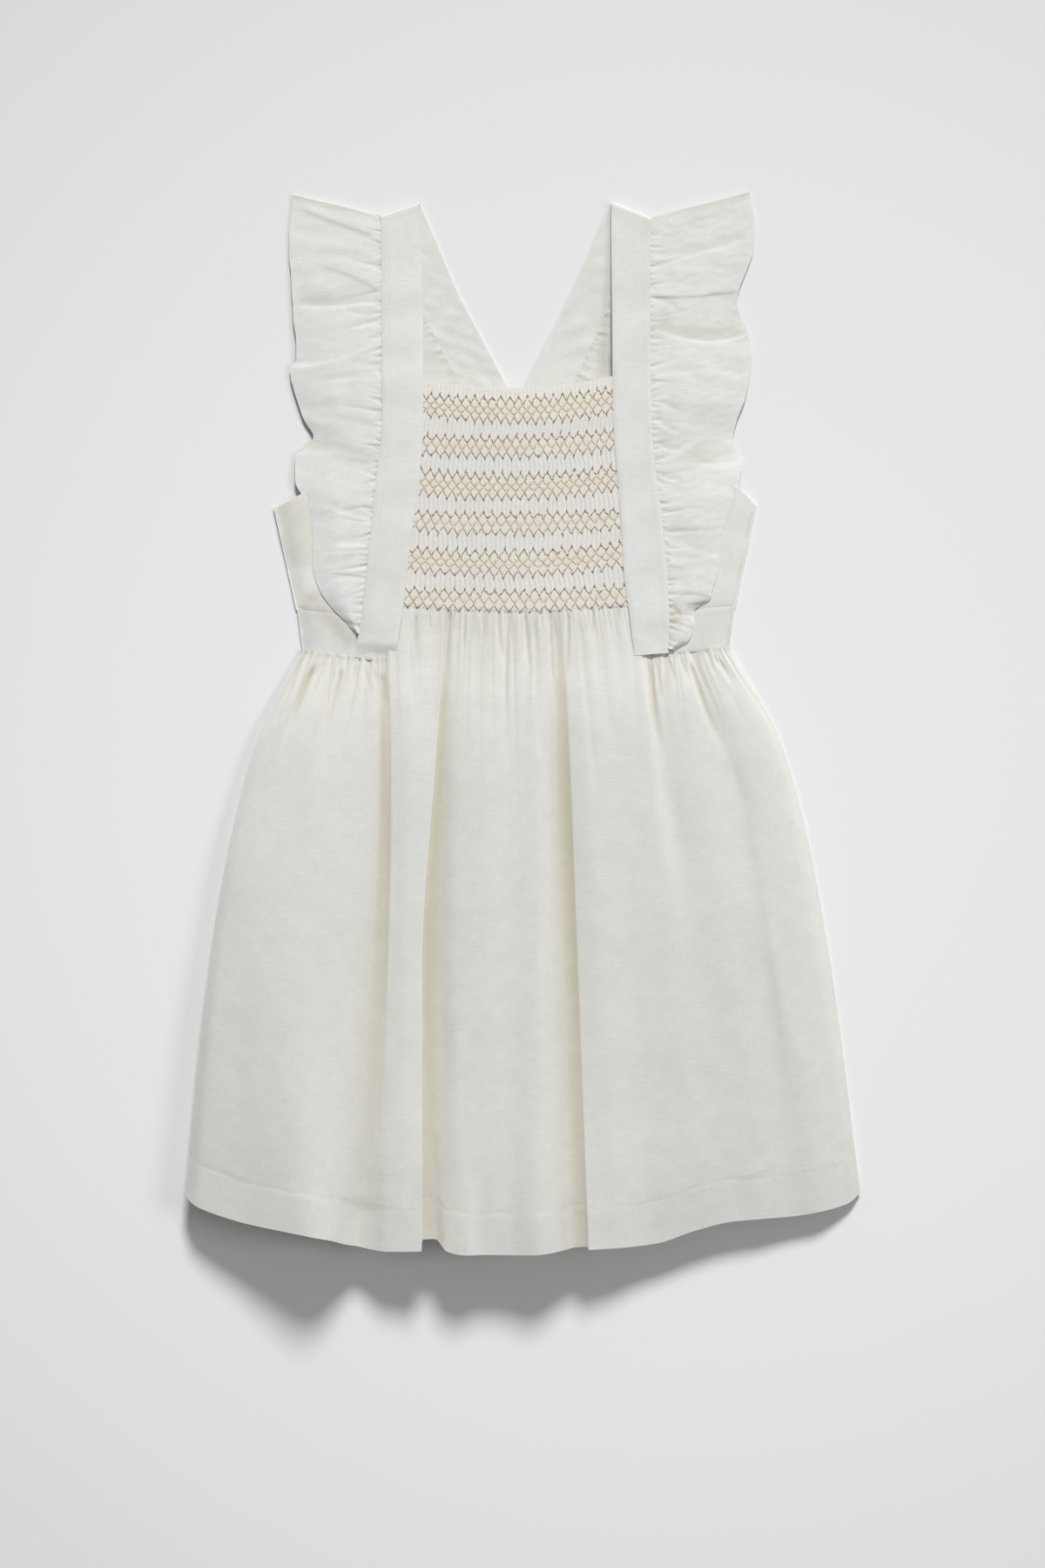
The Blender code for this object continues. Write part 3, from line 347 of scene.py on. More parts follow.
RUFFLE_RIGHT_BACK = rows(
    RuffleFold,
    ("back_top", 253.0, 114.0, 268.0, 1.2, 1.4),
    ("back_valley_1", 237.0, 108.9, 244.0, 0.0, 0.0),
    ("back_ridge_1", 223.0, 104.4, 223.0, 1.8, 2.4),
    ("back_valley_2", 209.0, 96.3, 204.5, 0.0, 0.0),
    ("back_ridge_2", 197.0, 85.5, 189.0, 1.8, 2.4),
    ("back_valley_3", 186.0, 72.0, 176.4, 0.0, 0.0),
    ("back_ridge_3", 176.0, 56.7, 166.5, 1.6, 2.2),
    ("back_valley_4", 168.0, 41.4, 161.1, 0.2, 0.0),
    ("back_end", 160.3, 25.5, 157.0, 1.0, 1.0),
)


# ---------------------------------------------------------------------------------------------
# Curves
# ---------------------------------------------------------------------------------------------
def smooth(share: np.ndarray) -> np.ndarray:
    """Ease from 0 to 1 with level ends: 3 t squared less 2 t cubed."""
    share = np.clip(share, 0.0, 1.0)
    return share * share * (3.0 - 2.0 * share)


def bell(offset: np.ndarray, width: np.ndarray | float) -> np.ndarray:
    """Rounded bump: e to the power of minus (offset / width) squared."""
    return np.exp(-((offset / width) ** 2))


def through(knots: np.ndarray, values: np.ndarray, where: np.ndarray) -> np.ndarray:
    """Smooth curve through values[k] at knots[k], with no overshoot between its turning points.

    Each span is a cubic whose end slopes are the weighted harmonic mean of the slopes beside the
    knot, or level where these have opposite signs.

    Args:
        knots: rising parameters of the given values.
        values: value, point or row of points at each knot.
        where: parameters at which the curve is wanted.

    Returns:
        The curve, one entry for each entry of where.
    """
    knots = np.asarray(knots, dtype=float)
    values = np.asarray(values, dtype=float)
    where = np.asarray(where, dtype=float)
    flat = values.reshape(len(knots), -1)
    step = np.diff(knots)[:, None]
    rise = np.diff(flat, axis=0) / step
    before, after = rise[:-1], rise[1:]
    same_way = before * after > 0.0
    weight_before = 2.0 * step[1:] + step[:-1]
    weight_after = step[1:] + 2.0 * step[:-1]
    safe_before = np.where(same_way, before, 1.0)
    safe_after = np.where(same_way, after, 1.0)
    mean = (weight_before + weight_after) / (weight_before / safe_before + weight_after / safe_after)
    slope = np.concatenate((rise[:1], np.where(same_way, mean, 0.0), rise[-1:]))
    span = np.clip(np.searchsorted(knots, where, side="right") - 1, 0, len(knots) - 2)
    width = step[span]
    t = ((where - knots[span])[:, None]) / width
    start = flat[span] * (1.0 + 2.0 * t) * (1.0 - t) ** 2 + slope[span] * width * t * (1.0 - t) ** 2
    end = flat[span + 1] * t * t * (3.0 - 2.0 * t) + slope[span + 1] * width * t * t * (t - 1.0)
    return (start + end).reshape((len(where),) + values.shape[1:])


def seam_y(seam: tuple, x: np.ndarray) -> np.ndarray:
    """y of a seam line at each x, by the same curve."""
    knots, heights = np.array(seam).T
    return through(knots, heights, np.clip(x, knots[0], knots[-1]))


def arc(points: np.ndarray, axis: int = 0) -> np.ndarray:
    """Length run along an axis of points: the sum of the steps so far, starting at 0.

    Args:
        points: the points, with their coordinates along the last axis.
        axis: the axis to run along.

    Returns:
        The length at each point.
    """
    step = np.linalg.norm(np.diff(points, axis=axis), axis=-1)
    start = np.zeros_like(np.take(step, [0], axis=axis))
    return np.concatenate((start, np.cumsum(step, axis=axis)), axis=axis)


def even_parameters(lines: list, weights: tuple, count: int) -> np.ndarray:
    """Parameters that space columns evenly over several sections of one sheet at once.

    Args:
        lines: sections, each an array of the points at parameters 0, 1, 2 and so on.
        weights: how much the length of each section counts.
        count: number of parameters wanted.

    Returns:
        Parameters at equal steps of the weighted sum of the lengths, each taken as a share.
    """
    knots = np.arange(len(lines[0]))
    dense = np.linspace(0.0, knots[-1], knots[-1] * 16 + 1)
    total = np.zeros(len(dense))
    for line, weight in zip(lines, weights):
        run = arc(through(knots, line, dense))
        total += weight * run / run[-1]
    return np.interp(np.linspace(0.0, total[-1], count), total, dense)


def trend(heights: np.ndarray, where: np.ndarray, reach: float) -> np.ndarray:
    """Running mean of heights along their first axis, weighted by bells of width reach in where.

    Args:
        heights: heights, one row for each entry of where.
        where: place of each row; each counts by its share of the way.
        reach: width of the bells.

    Returns:
        The mean for each entry of heights.
    """
    weights = bell(where[:, None] - where[None], reach) * np.abs(np.gradient(where))
    return (weights / weights.sum(axis=1, keepdims=True)) @ heights


def waves(x: np.ndarray, y: np.ndarray, length: float, seed: int) -> np.ndarray:
    """Soft unevenness between about -1 and 1: the mean of seeded plane waves of about one length.

    Args:
        x: x of each place.
        y: y of each place.
        length: length of the waves.
        seed: seed of their headings, lengths and phases.

    Returns:
        The unevenness at each place.
    """
    draw = np.random.default_rng(seed)
    total = np.zeros_like(x)
    count = 7
    for _ in range(count):
        heading = draw.uniform(0.0, math.pi)
        pace = 2.0 * math.pi / (length * draw.uniform(0.7, 1.5))
        phase = draw.uniform(0.0, 2.0 * math.pi)
        total += np.sin((x * math.cos(heading) + y * math.sin(heading)) * pace + phase)
    return total / math.sqrt(count)


# ---------------------------------------------------------------------------------------------
# Creases and gathers
# ---------------------------------------------------------------------------------------------
@dataclass(frozen=True)
class Ripple:
    """Irregular unevenness of the cloth, in mm; a squash below 1 stretches it along x or y."""

    height: float
    length: float
    seed: int
    squash: tuple = (1.0, 1.0)

    def shape(self, x: np.ndarray, y: np.ndarray) -> np.ndarray:
        """Its height at points with these x and y."""
        return self.height * waves(x * self.squash[0], y * self.squash[1], self.length, self.seed)


@dataclass(frozen=True)
class Crease:
    """One soft ridge or trough on a curved line, in millimetres.

    The line runs from its first point past its middle point to its last. left and right are its
    widths on the two sides of the way it runs, ease_in and ease_out the shares of its length over
    which it comes and goes, and the last field how much painted warmer shade of a deep fold it has.
    """

    name: str
    x_from: float
    y_from: float
    x_mid: float
    y_mid: float
    x_to: float
    y_to: float
    height: float
    left: float
    right: float
    ease_in: float
    ease_out: float
    warm_tint_and_shade: float

    def from_chord(self, x: np.ndarray | float, y: np.ndarray | float) -> tuple:
        """Place of a point against the straight line from the crease's first point to its last.

        Args:
            x: x of the point.
            y: y of the point.

        Returns:
            Its share of the way, and its distance to the left.
        """
        run_x, run_y = self.x_to - self.x_from, self.y_to - self.y_from
        dx, dy = x - self.x_from, y - self.y_from
        length = math.hypot(run_x, run_y)
        return (dx * run_x + dy * run_y) / length**2, (run_x * dy - run_y * dx) / length

    def shape(self, x: np.ndarray, y: np.ndarray, flare: float = 0.0) -> np.ndarray:
        """Share of the full height at each place, from 0 to 1.

        Along the chord a runs from 0 to 1. Across it, the distance from the parabola through the
        three points goes into a bell whose width depends on the side and grows along the crease
        from 1 - flare to 1 + flare times its size.

        Args:
            x: x of each place.
            y: y of each place.
            flare: how much wider the crease gets along its way.

        Returns:
            The share of the crease's height at each place.
        """
        mid_along, mid_side = self.from_chord(self.x_mid, self.y_mid)
        bow = mid_side / (mid_along * (1.0 - mid_along))
        along, side = self.from_chord(x, y)
        inside = np.clip(along, 0.0, 1.0)
        off = side - bow * inside * (1.0 - inside)
        width = np.where(off > 0.0, self.left, self.right) * (1.0 + flare * (2.0 * inside - 1.0))
        ease = smooth(along / max(self.ease_in, SHORTEST_EASE))
        ease *= smooth((1.0 - along) / max(self.ease_out, SHORTEST_EASE))
        return ease * bell(off, width)


@dataclass(frozen=True)
class Shade:
    """A soft dark place in a fold, drawn as a bell on a tilted ellipse, in mm and degrees."""

    name: str
    x: float
    y: float
    along: float
    across: float
    tilt: float
    dark: float
    warm_tint_and_shade: float

    def share(self, x: np.ndarray, y: np.ndarray) -> np.ndarray:
        """How strong the shade is at each point.

        It is bell(u, along) * bell(v, across), with u and v the offsets from the centre, turned by
        the tilt.

        Args:
            x: x of the points, in mm.
            y: y of the points, in mm.

        Returns:
            The strength, 0 to 1.
        """
        turn = math.radians(self.tilt)
        u = (x - self.x) * math.cos(turn) + (y - self.y) * math.sin(turn)
        v = (y - self.y) * math.cos(turn) - (x - self.x) * math.sin(turn)
        return bell(u, self.along) * bell(v, self.across)


@dataclass(frozen=True)
class Gathers:
    """Short seeded tucks that run out from a seam, in millimetres."""

    pitch: float
    depth: float
    reach: float
    width: float
    slant: float
    seed: int
    places: tuple = (0.1, 0.9)
    depths: tuple = (0.3, 1.0)
    reaches: tuple = (0.3, 1.3)
    widths: tuple = (0.8, 1.3)

    def shape(self, along: np.ndarray, away: np.ndarray) -> np.ndarray:
        """Height of the tucks: for each a narrow bell along the seam that dies out away from it.

        Args:
            along: distance along the seam.
            away: distance from the seam.

        Returns:
            The height to add, 0 or less.
        """
        draw = np.random.default_rng(self.seed)
        count = int(np.ptp(along) / self.pitch)
        centres = along.min() + (np.arange(count) + draw.uniform(*self.places, count)) * self.pitch
        total = np.zeros_like(along)
        for centre in centres:
            depth = self.depth * draw.uniform(*self.depths)
            reach = self.reach * draw.uniform(*self.reaches)
            width = self.width * draw.uniform(*self.widths)
            slant = self.slant * draw.uniform(-1.0, 1.0)
            total -= depth * bell(along - centre - slant * away, width) * bell(away, reach)
        return total


LEFT_SHADES = rows(
    Shade,
    ("notch", -95.0, 138.5, 20.0, 5.0, -11.0, 0.09, 0.15),
    ("notch_flap", -115.0, 144.5, 4.0, 2.6, -20.0, 0.1, 0.4),
    ("notch_lobe", -104.0, 152.5, 9.0, 6.0, -35.0, -0.045, 0.0),
    ("notch_lip", -108.5, 140.5, 9.0, 3.0, 12.0, 0.06, 0.1),
    ("deep_valley", -96.0, 216.0, 16.0, 3.0, 2.0, 0.025, 0.1),
)
RIGHT_SHADES = rows(
    Shade,
    ("lobe", 92.0, 201.0, 24.0, 4.0, -3.0, 0.05, 0.2),
    ("lobe_end", 112.0, 212.0, 5.0, 9.0, 0.0, 0.06, 0.1),
    ("lobe_seam", 71.0, 205.0, 5.0, 10.0, 0.0, 0.03, 0.15),
    ("low_lobe", 87.5, 149.0, 18.0, 9.0, 20.0, 0.04, 0.05),
    ("low_seam", 73.5, 150.0, 4.5, 7.0, 0.0, 0.045, 0.1),
    ("pocket", 92.0, 135.0, 10.0, 4.0, 5.0, 0.06, 0.2),
    ("shadow_band", 94.0, 85.0, 10.0, 5.0, -15.0, 0.055, 0.1),
    ("flap", 93.5, 62.0, 5.0, 2.2, 5.0, 0.08, 0.4),
    ("knot", 78.5, 55.0, 3.5, 6.0, 0.0, 0.05, 0.4),
)
LEFT_RUFFLE_CREASES = rows(
    Crease,
    ("top_roll", -117.5, 267.0, -96.5, 258.5, -75.0, 251.0, 1.6, 5.0, 1.6, 0.2, 0.1, 0.1),
    ("second_roll", -114.5, 243.0, -87.5, 243.5, -74.5, 240.5, 0.8, 4.0, 3.0, 0.3, 0.1, 0.0),
    ("third_roll", -110.0, 237.5, -92.0, 232.0, -73.5, 223.0, 1.3, 5.0, 1.3, 0.4, 0.05, 0.1),
    ("deep_valley", -118.5, 215.5, -92.0, 215.5, -73.5, 218.0, -2.2, 4.5, 1.8, 0.15, 0.05, 0.15),
    ("deep_branch", -95.0, 214.5, -86.0, 210.5, -73.5, 210.5, -0.9, 2.0, 1.3, 0.3, 0.05, 0.0),
    ("seam_tuck", -91.0, 203.5, -81.5, 204.5, -73.5, 206.0, -0.9, 2.4, 1.3, 0.5, 0.05, 0.0),
    ("tip_crease", -120.5, 182.0, -98.5, 184.5, -73.5, 195.5, 0.8, 1.5, 3.0, 0.1, 0.3, 0.0),
    ("low_tuck", -114.5, 175.5, -91.0, 177.0, -72.5, 181.0, -0.9, 2.2, 1.6, 0.4, 0.05, 0.0),
    ("soft_ridge", -114.5, 163.0, -99.0, 167.0, -86.0, 179.0, 0.6, 3.0, 3.0, 0.3, 0.5, 0.0),
    ("notch_fold", -109.0, 156.5, -89.5, 155.5, -73.5, 150.5, -0.5, 2.5, 2.0, 0.2, 0.1, 0.2),
    ("pocket", -116.0, 145.0, -92.0, 141.0, -73.5, 135.0, -0.4, 1.4, 2.6, 0.1, 0.1, 0.2),
    ("notch_flap", -118.0, 147.5, -113.5, 145.5, -104.0, 143.0, -0.6, 2.6, 1.6, 0.02, 0.7, 1.0),
    ("short_tuck", -85.0, 132.0, -79.5, 128.0, -74.5, 125.5, -0.8, 1.8, 1.2, 0.4, 0.05, 0.0),
    ("slant_tuck", -106.0, 114.5, -90.5, 108.0, -77.5, 105.0, -1.0, 2.6, 1.6, 0.4, 0.05, 0.0),
    ("level_tuck", -101.0, 92.5, -89.5, 92.0, -77.5, 92.5, -0.8, 2.2, 1.4, 0.4, 0.05, 0.0),
    ("lower_ridge", -107.5, 79.0, -92.0, 87.5, -81.5, 87.5, 0.9, 2.0, 2.6, 0.2, 0.2, 0.0),
    ("last_tuck", -101.0, 74.5, -91.5, 73.5, -82.5, 73.5, -0.8, 2.0, 1.3, 0.3, 0.1, 0.0),
)
RIGHT_RUFFLE_CREASES = rows(
    Crease,
    ("top_ridge", 73.0, 255.0, 93.0, 262.5, 116.0, 266.5, 0.7, 4.0, 3.0, 0.1, 0.3, 0.0),
    ("top_tuck", 68.0, 240.5, 94.0, 243.5, 119.5, 252.5, -1.0, 2.6, 1.8, 0.05, 0.2, 0.0),
    ("soft_ridge", 71.5, 232.5, 85.0, 232.0, 99.5, 232.0, 0.6, 2.5, 2.5, 0.2, 0.4, 0.0),
    ("lobe_lip", 67.5, 219.5, 89.5, 220.0, 112.0, 223.0, 1.6, 4.0, 1.0, 0.05, 0.1, 0.1),
    ("lobe_inner", 68.0, 218.0, 77.0, 215.0, 82.0, 209.5, -1.1, 1.8, 1.8, 0.05, 0.4, 0.2),
    ("lobe_edge", 68.0, 203.5, 88.5, 197.0, 116.5, 200.5, -1.9, 8.0, 1.3, 0.1, 0.2, 0.15),
    ("tuck_a", 68.0, 179.5, 80.5, 180.0, 93.0, 182.0, -0.9, 2.2, 1.3, 0.05, 0.5, 0.0),
    ("soft_tuck", 93.0, 179.0, 104.5, 177.0, 116.0, 174.5, 0.5, 2.5, 2.0, 0.3, 0.2, 0.0),
    ("tuck_b", 66.5, 168.5, 76.0, 162.0, 86.0, 158.5, -1.0, 2.2, 1.4, 0.05, 0.4, 0.0),
    ("tuck_c", 68.0, 157.5, 74.5, 151.5, 84.0, 149.0, -1.4, 3.0, 1.2, 0.05, 0.4, 0.1),
    ("tuck_d", 68.5, 143.5, 77.0, 140.0, 85.0, 140.5, -1.0, 2.0, 1.2, 0.05, 0.4, 0.0),
    ("light_ridge", 70.5, 132.0, 85.5, 140.0, 100.5, 151.0, 0.9, 1.8, 2.6, 0.2, 0.4, 0.0),
    ("pocket", 82.0, 135.5, 98.0, 134.0, 114.0, 136.5, -2.0, 7.0, 2.2, 0.3, 0.05, 0.15),
    ("low_lobe", 70.5, 160.0, 90.0, 153.0, 112.5, 147.5, -1.5, 8.0, 4.0, 0.1, 0.1, 0.05),
    ("tuck_e", 70.5, 126.5, 76.5, 125.0, 84.0, 124.5, -0.8, 1.8, 1.2, 0.05, 0.4, 0.0),
    ("shadow_band", 73.0, 96.0, 87.5, 90.0, 102.5, 86.0, -1.8, 7.5, 2.5, 0.1, 0.1, 0.1),
    ("band_edge", 73.5, 82.0, 88.0, 82.0, 102.5, 85.5, 0.7, 1.6, 3.0, 0.1, 0.1, 0.0),
    ("flap", 78.0, 64.5, 88.5, 66.5, 98.0, 64.0, 1.3, 4.0, 1.0, 0.2, 0.1, 0.2),
    ("knot_a", 75.5, 60.0, 79.0, 57.0, 82.5, 52.0, -1.3, 1.5, 1.5, 0.2, 0.3, 0.2),
    ("knot_b", 77.0, 50.0, 82.5, 52.0, 88.0, 50.0, -1.0, 1.8, 1.2, 0.2, 0.3, 0.1),
)
WAIST_CREASES = rows(
    Crease,
    ("waist_1", -106.5, 29.5, -115.5, 9.0, -124.5, -17.0, -3.0, 2.0, 2.2, 0.12, 0.9, 0.7),
    ("waist_2", -92.5, 28.0, -97.5, 8.0, -102.0, -18.0, -2.2, 1.6, 1.8, 0.12, 0.9, 0.5),
    ("edge_tuck", -113.5, 33.0, -119.0, 20.0, -123.0, 9.0, -1.0, 1.2, 1.2, 0.12, 0.8, 0.45),
    ("tuck_a", -102.5, 31.5, -105.0, 27.5, -107.5, 19.5, -0.8, 1.0, 1.0, 0.12, 0.8, 0.35),
    ("tuck_b", -97.5, 31.0, -98.5, 23.5, -100.5, 16.0, -0.8, 1.0, 1.0, 0.12, 0.8, 0.35),
    ("tuck_c", -86.5, 29.5, -87.0, 23.0, -89.0, 15.0, -0.7, 1.0, 1.0, 0.12, 0.8, 0.35),
    ("tuck_d", -81.5, 28.0, -79.5, 20.0, -76.0, 9.0, -1.0, 1.2, 1.2, 0.12, 0.8, 0.45),
    ("tuck_e", -77.0, 28.0, -76.0, 22.5, -74.0, 15.0, -0.8, 1.0, 1.0, 0.12, 0.8, 0.35),
    ("strip_1_mouth", -72.5, 25.0, -71.5, 12.5, -71.0, -10.0, -1.6, 2.0, 3.0, 0.1, 0.8, 0.6),
    ("bib_a", -55.0, 54.5, -55.0, 39.0, -54.5, 22.5, -1.2, 1.0, 1.0, 0.05, 0.8, 0.5),
    ("bib_b", -47.5, 54.5, -47.5, 49.0, -47.0, 43.0, -0.8, 0.8, 0.8, 0.05, 0.8, 0.4),
    ("strip_2_mouth", -37.0, 55.5, -39.0, 36.5, -38.5, 12.5, -1.8, 2.0, 1.8, 0.05, 0.7, 0.4),
    ("bib_c", -29.5, 54.5, -30.0, 44.0, -29.5, 28.5, -1.0, 1.0, 1.0, 0.05, 0.8, 0.5),
    ("bib_d", -20.5, 54.5, -20.0, 44.0, -21.0, 33.5, -0.8, 0.8, 0.8, 0.05, 0.8, 0.4),
    ("bib_e", -12.5, 54.5, -11.0, 39.0, -7.0, 23.0, -1.0, 1.0, 1.0, 0.05, 0.8, 0.5),
    ("bib_f", -6.5, 54.5, -8.0, 26.0, -5.0, -32.5, -1.4, 1.1, 1.5, 0.02, 0.85, 0.5),
    ("bib_g", 1.5, 54.5, 3.0, 34.5, 6.5, 11.5, -1.4, 1.1, 1.1, 0.03, 0.8, 0.5),
    ("strip_3_left", 14.0, 55.5, 15.5, 27.5, 19.5, -10.0, -1.2, 1.3, 1.0, 0.03, 0.8, 0.5),
    ("strip_3_mouth", 24.0, 55.5, 23.5, 39.5, 23.0, 12.5, -1.6, 1.0, 1.4, 0.03, 0.7, 0.5),
    ("bib_h", 36.5, 57.5, 36.0, 46.0, 36.0, 35.0, -1.0, 1.0, 1.0, 0.05, 0.8, 0.5),
    ("bib_i", 49.5, 57.5, 49.0, 53.5, 49.0, 49.0, -0.6, 0.8, 0.8, 0.05, 0.8, 0.4),
    ("waist_3", 65.0, 32.0, 68.0, 2.5, 75.0, -29.5, -3.0, 2.0, 2.0, 0.12, 0.8, 0.5),
    ("waist_3_low", 73.0, -15.5, 79.5, -59.0, 87.0, -104.0, -1.6, 6.0, 5.0, 0.35, 0.6, 0.0),
    ("tuck_f", 75.0, 32.0, 78.0, 23.5, 80.5, 15.5, -1.0, 1.2, 1.2, 0.12, 0.8, 0.45),
    ("tuck_g", 81.0, 32.0, 84.5, 24.5, 86.5, 19.0, -0.8, 1.0, 1.0, 0.12, 0.8, 0.35),
    ("waist_4", 86.0, 32.0, 95.0, 5.5, 108.5, -24.5, -2.5, 2.0, 1.8, 0.12, 0.8, 0.5),
    ("waist_4_low", 106.5, -20.5, 114.0, -41.5, 119.5, -60.0, -1.0, 5.0, 4.0, 0.3, 0.6, 0.0),
    ("waist_5", 98.0, 33.5, 106.0, 24.5, 113.5, 14.0, -1.5, 1.6, 1.4, 0.12, 0.8, 0.3),
)
SKIRT_CREASES = rows(
    Crease,
    ("left_ridge", -103.5, -15.5, -107.0, -41.5, -110.5, -70.5, 1.4, 5.0, 5.0, 0.3, 0.4, 0.0),
    ("left_spot", -114.0, -73.0, -115.0, -77.0, -116.0, -82.5, 0.8, 4.0, 4.0, 0.5, 0.5, 0.0),
    ("strip_1_edge", -67.5, -23.5, -67.5, -85.5, -71.5, -168.5, 0.8, 1.6, 3.0, 0.2, 0.3, 0.0),
    ("right_ridge", 116.0, -70.0, 130.0, -131.0, 151.5, -195.5, 1.8, 6.0, 7.0, 0.3, 0.3, 0.0),
    ("soft_band", 95.0, -116.0, 104.0, -131.0, 113.5, -147.0, 0.9, 6.0, 6.0, 0.4, 0.4, 0.0),
    ("crumple_a", 101.5, -222.5, 109.5, -218.5, 117.0, -214.5, 0.7, 2.5, 2.0, 0.3, 0.3, 0.0),
    ("crumple_b", 108.5, -235.5, 122.0, -231.0, 135.0, -223.5, 0.9, 2.5, 1.8, 0.3, 0.3, 0.0),
    ("crumple_c", 159.0, -229.0, 163.5, -227.0, 168.0, -224.0, 0.6, 2.0, 1.5, 0.3, 0.3, 0.0),
)


# ---------------------------------------------------------------------------------------------
# Node trees
# ---------------------------------------------------------------------------------------------
class Value:
    """A node's output that adds Math nodes to its tree when it is reckoned with."""

    def __init__(self, shader: "Shader", socket: bpy.types.NodeSocket) -> None:
        """Keep the tree and the socket."""
        self.shader = shader
        self.socket = socket

    def math(self, operation: str, *terms: object) -> "Value":
        """Math node of the given operation on terms, in order."""
        inputs = dict(enumerate(terms))
        return self.shader.node("ShaderNodeMath", {"operation": operation}, inputs)

    def __add__(self, other: object) -> "Value":
        """Sum."""
        return self.math("ADD", self, other)

    def __sub__(self, other: object) -> "Value":
        """Difference."""
        return self.math("SUBTRACT", self, other)

    def __rsub__(self, other: object) -> "Value":
        """Difference, the other way round."""
        return self.math("SUBTRACT", other, self)

    def __mul__(self, other: object) -> "Value":
        """Product."""
        return self.math("MULTIPLY", self, other)

    def sine(self) -> "Value":
        """Sine."""
        return self.math("SINE", self)

    def scaled(self, factor: object) -> "Value":
        """This colour or vector times a number."""
        inputs = {0: self, "Scale": factor}
        return self.shader.node("ShaderNodeVectorMath", {"operation": "SCALE"}, inputs)

    def stretched(self, x: float, y: float) -> "Value":
        """This vector with its first two parts divided by lengths x and y."""
        inputs = {0: self, 1: (1.0 / x, 1.0 / y, 1.0)}
        return self.shader.node("ShaderNodeVectorMath", {"operation": "MULTIPLY"}, inputs)


class Shader:
    """One material and its node tree."""

    def __init__(self, name: str) -> None:
        """Make the material, with its Principled shader.

        Args:
            name: name of the material.
        """
        self.material = bpy.data.materials.new(name)
        self.material.use_nodes = True
        self.tree = self.material.node_tree
        self.surface = self.tree.nodes["Principled BSDF"]

    def fill(self, node: bpy.types.Node, inputs: dict) -> None:
        """Set or link a node's inputs.

        Args:
            node: the node.
            inputs: value or constant by the input's name or number.
        """
        for key, value in inputs.items():
            socket = node.inputs[key]
            if isinstance(value, Value):
                self.tree.links.new(value.socket, socket)
            else:
                socket.default_value = value

    def node(self, kind: str, settings: dict, inputs: dict, output: int | str = 0) -> Value:
        """Add a node.

        Args:
            kind: type of the node.
            settings: its own settings, set first.
            inputs: values or links of its sockets.
            output: output wanted.

        Returns:
            That output.
        """
        made = self.tree.nodes.new(kind)
        for key, value in settings.items():
            setattr(made, key, value)
        self.fill(made, inputs)
        return Value(self, made.outputs[output])

    def colour(self, colour: tuple) -> Value:
        """A plain colour as an output that can be reckoned with.

        Args:
            colour: its parts and alpha.

        Returns:
            The output.
        """
        made = self.node("ShaderNodeRGB", {}, {})
        made.socket.default_value = colour
        return made

    def attribute(self, name: str) -> Value:
        """What an attribute of the mesh says."""
        return self.node("ShaderNodeAttribute", {"attribute_name": name}, {}, "Fac")

    def own_place(self) -> Value:
        """The object's own coordinates."""
        return self.node("ShaderNodeTexCoord", {}, {}, "Object")

    def noise(self, vector: Value, detail: float = 2.0) -> Value:
        """Noise of size 1 on a vector, centred on 0."""
        inputs = {"Vector": vector, "Scale": 1.0, "Detail": detail, "Roughness": 0.55}
        return self.node("ShaderNodeTexNoise", {}, inputs) - 0.5


def linear(red: int, green: int, blue: int) -> tuple:
    """Scene-linear colour of an 8-bit one, by the standard curve: straight up to the knee, then bent.

    Args:
        red: red part, from 0 to 255.
        green: green part.
        blue: blue part.

    Returns:
        The linear parts and alpha.
    """
    knee, slope, offset, power = 0.04045, 12.92, 0.055, 2.4
    parts = np.array((red, green, blue)) / 255.0
    bent = np.where(parts <= knee, parts / slope, ((parts + offset) / (1.0 + offset)) ** power)
    return tuple(float(part) for part in bent) + (1.0,)


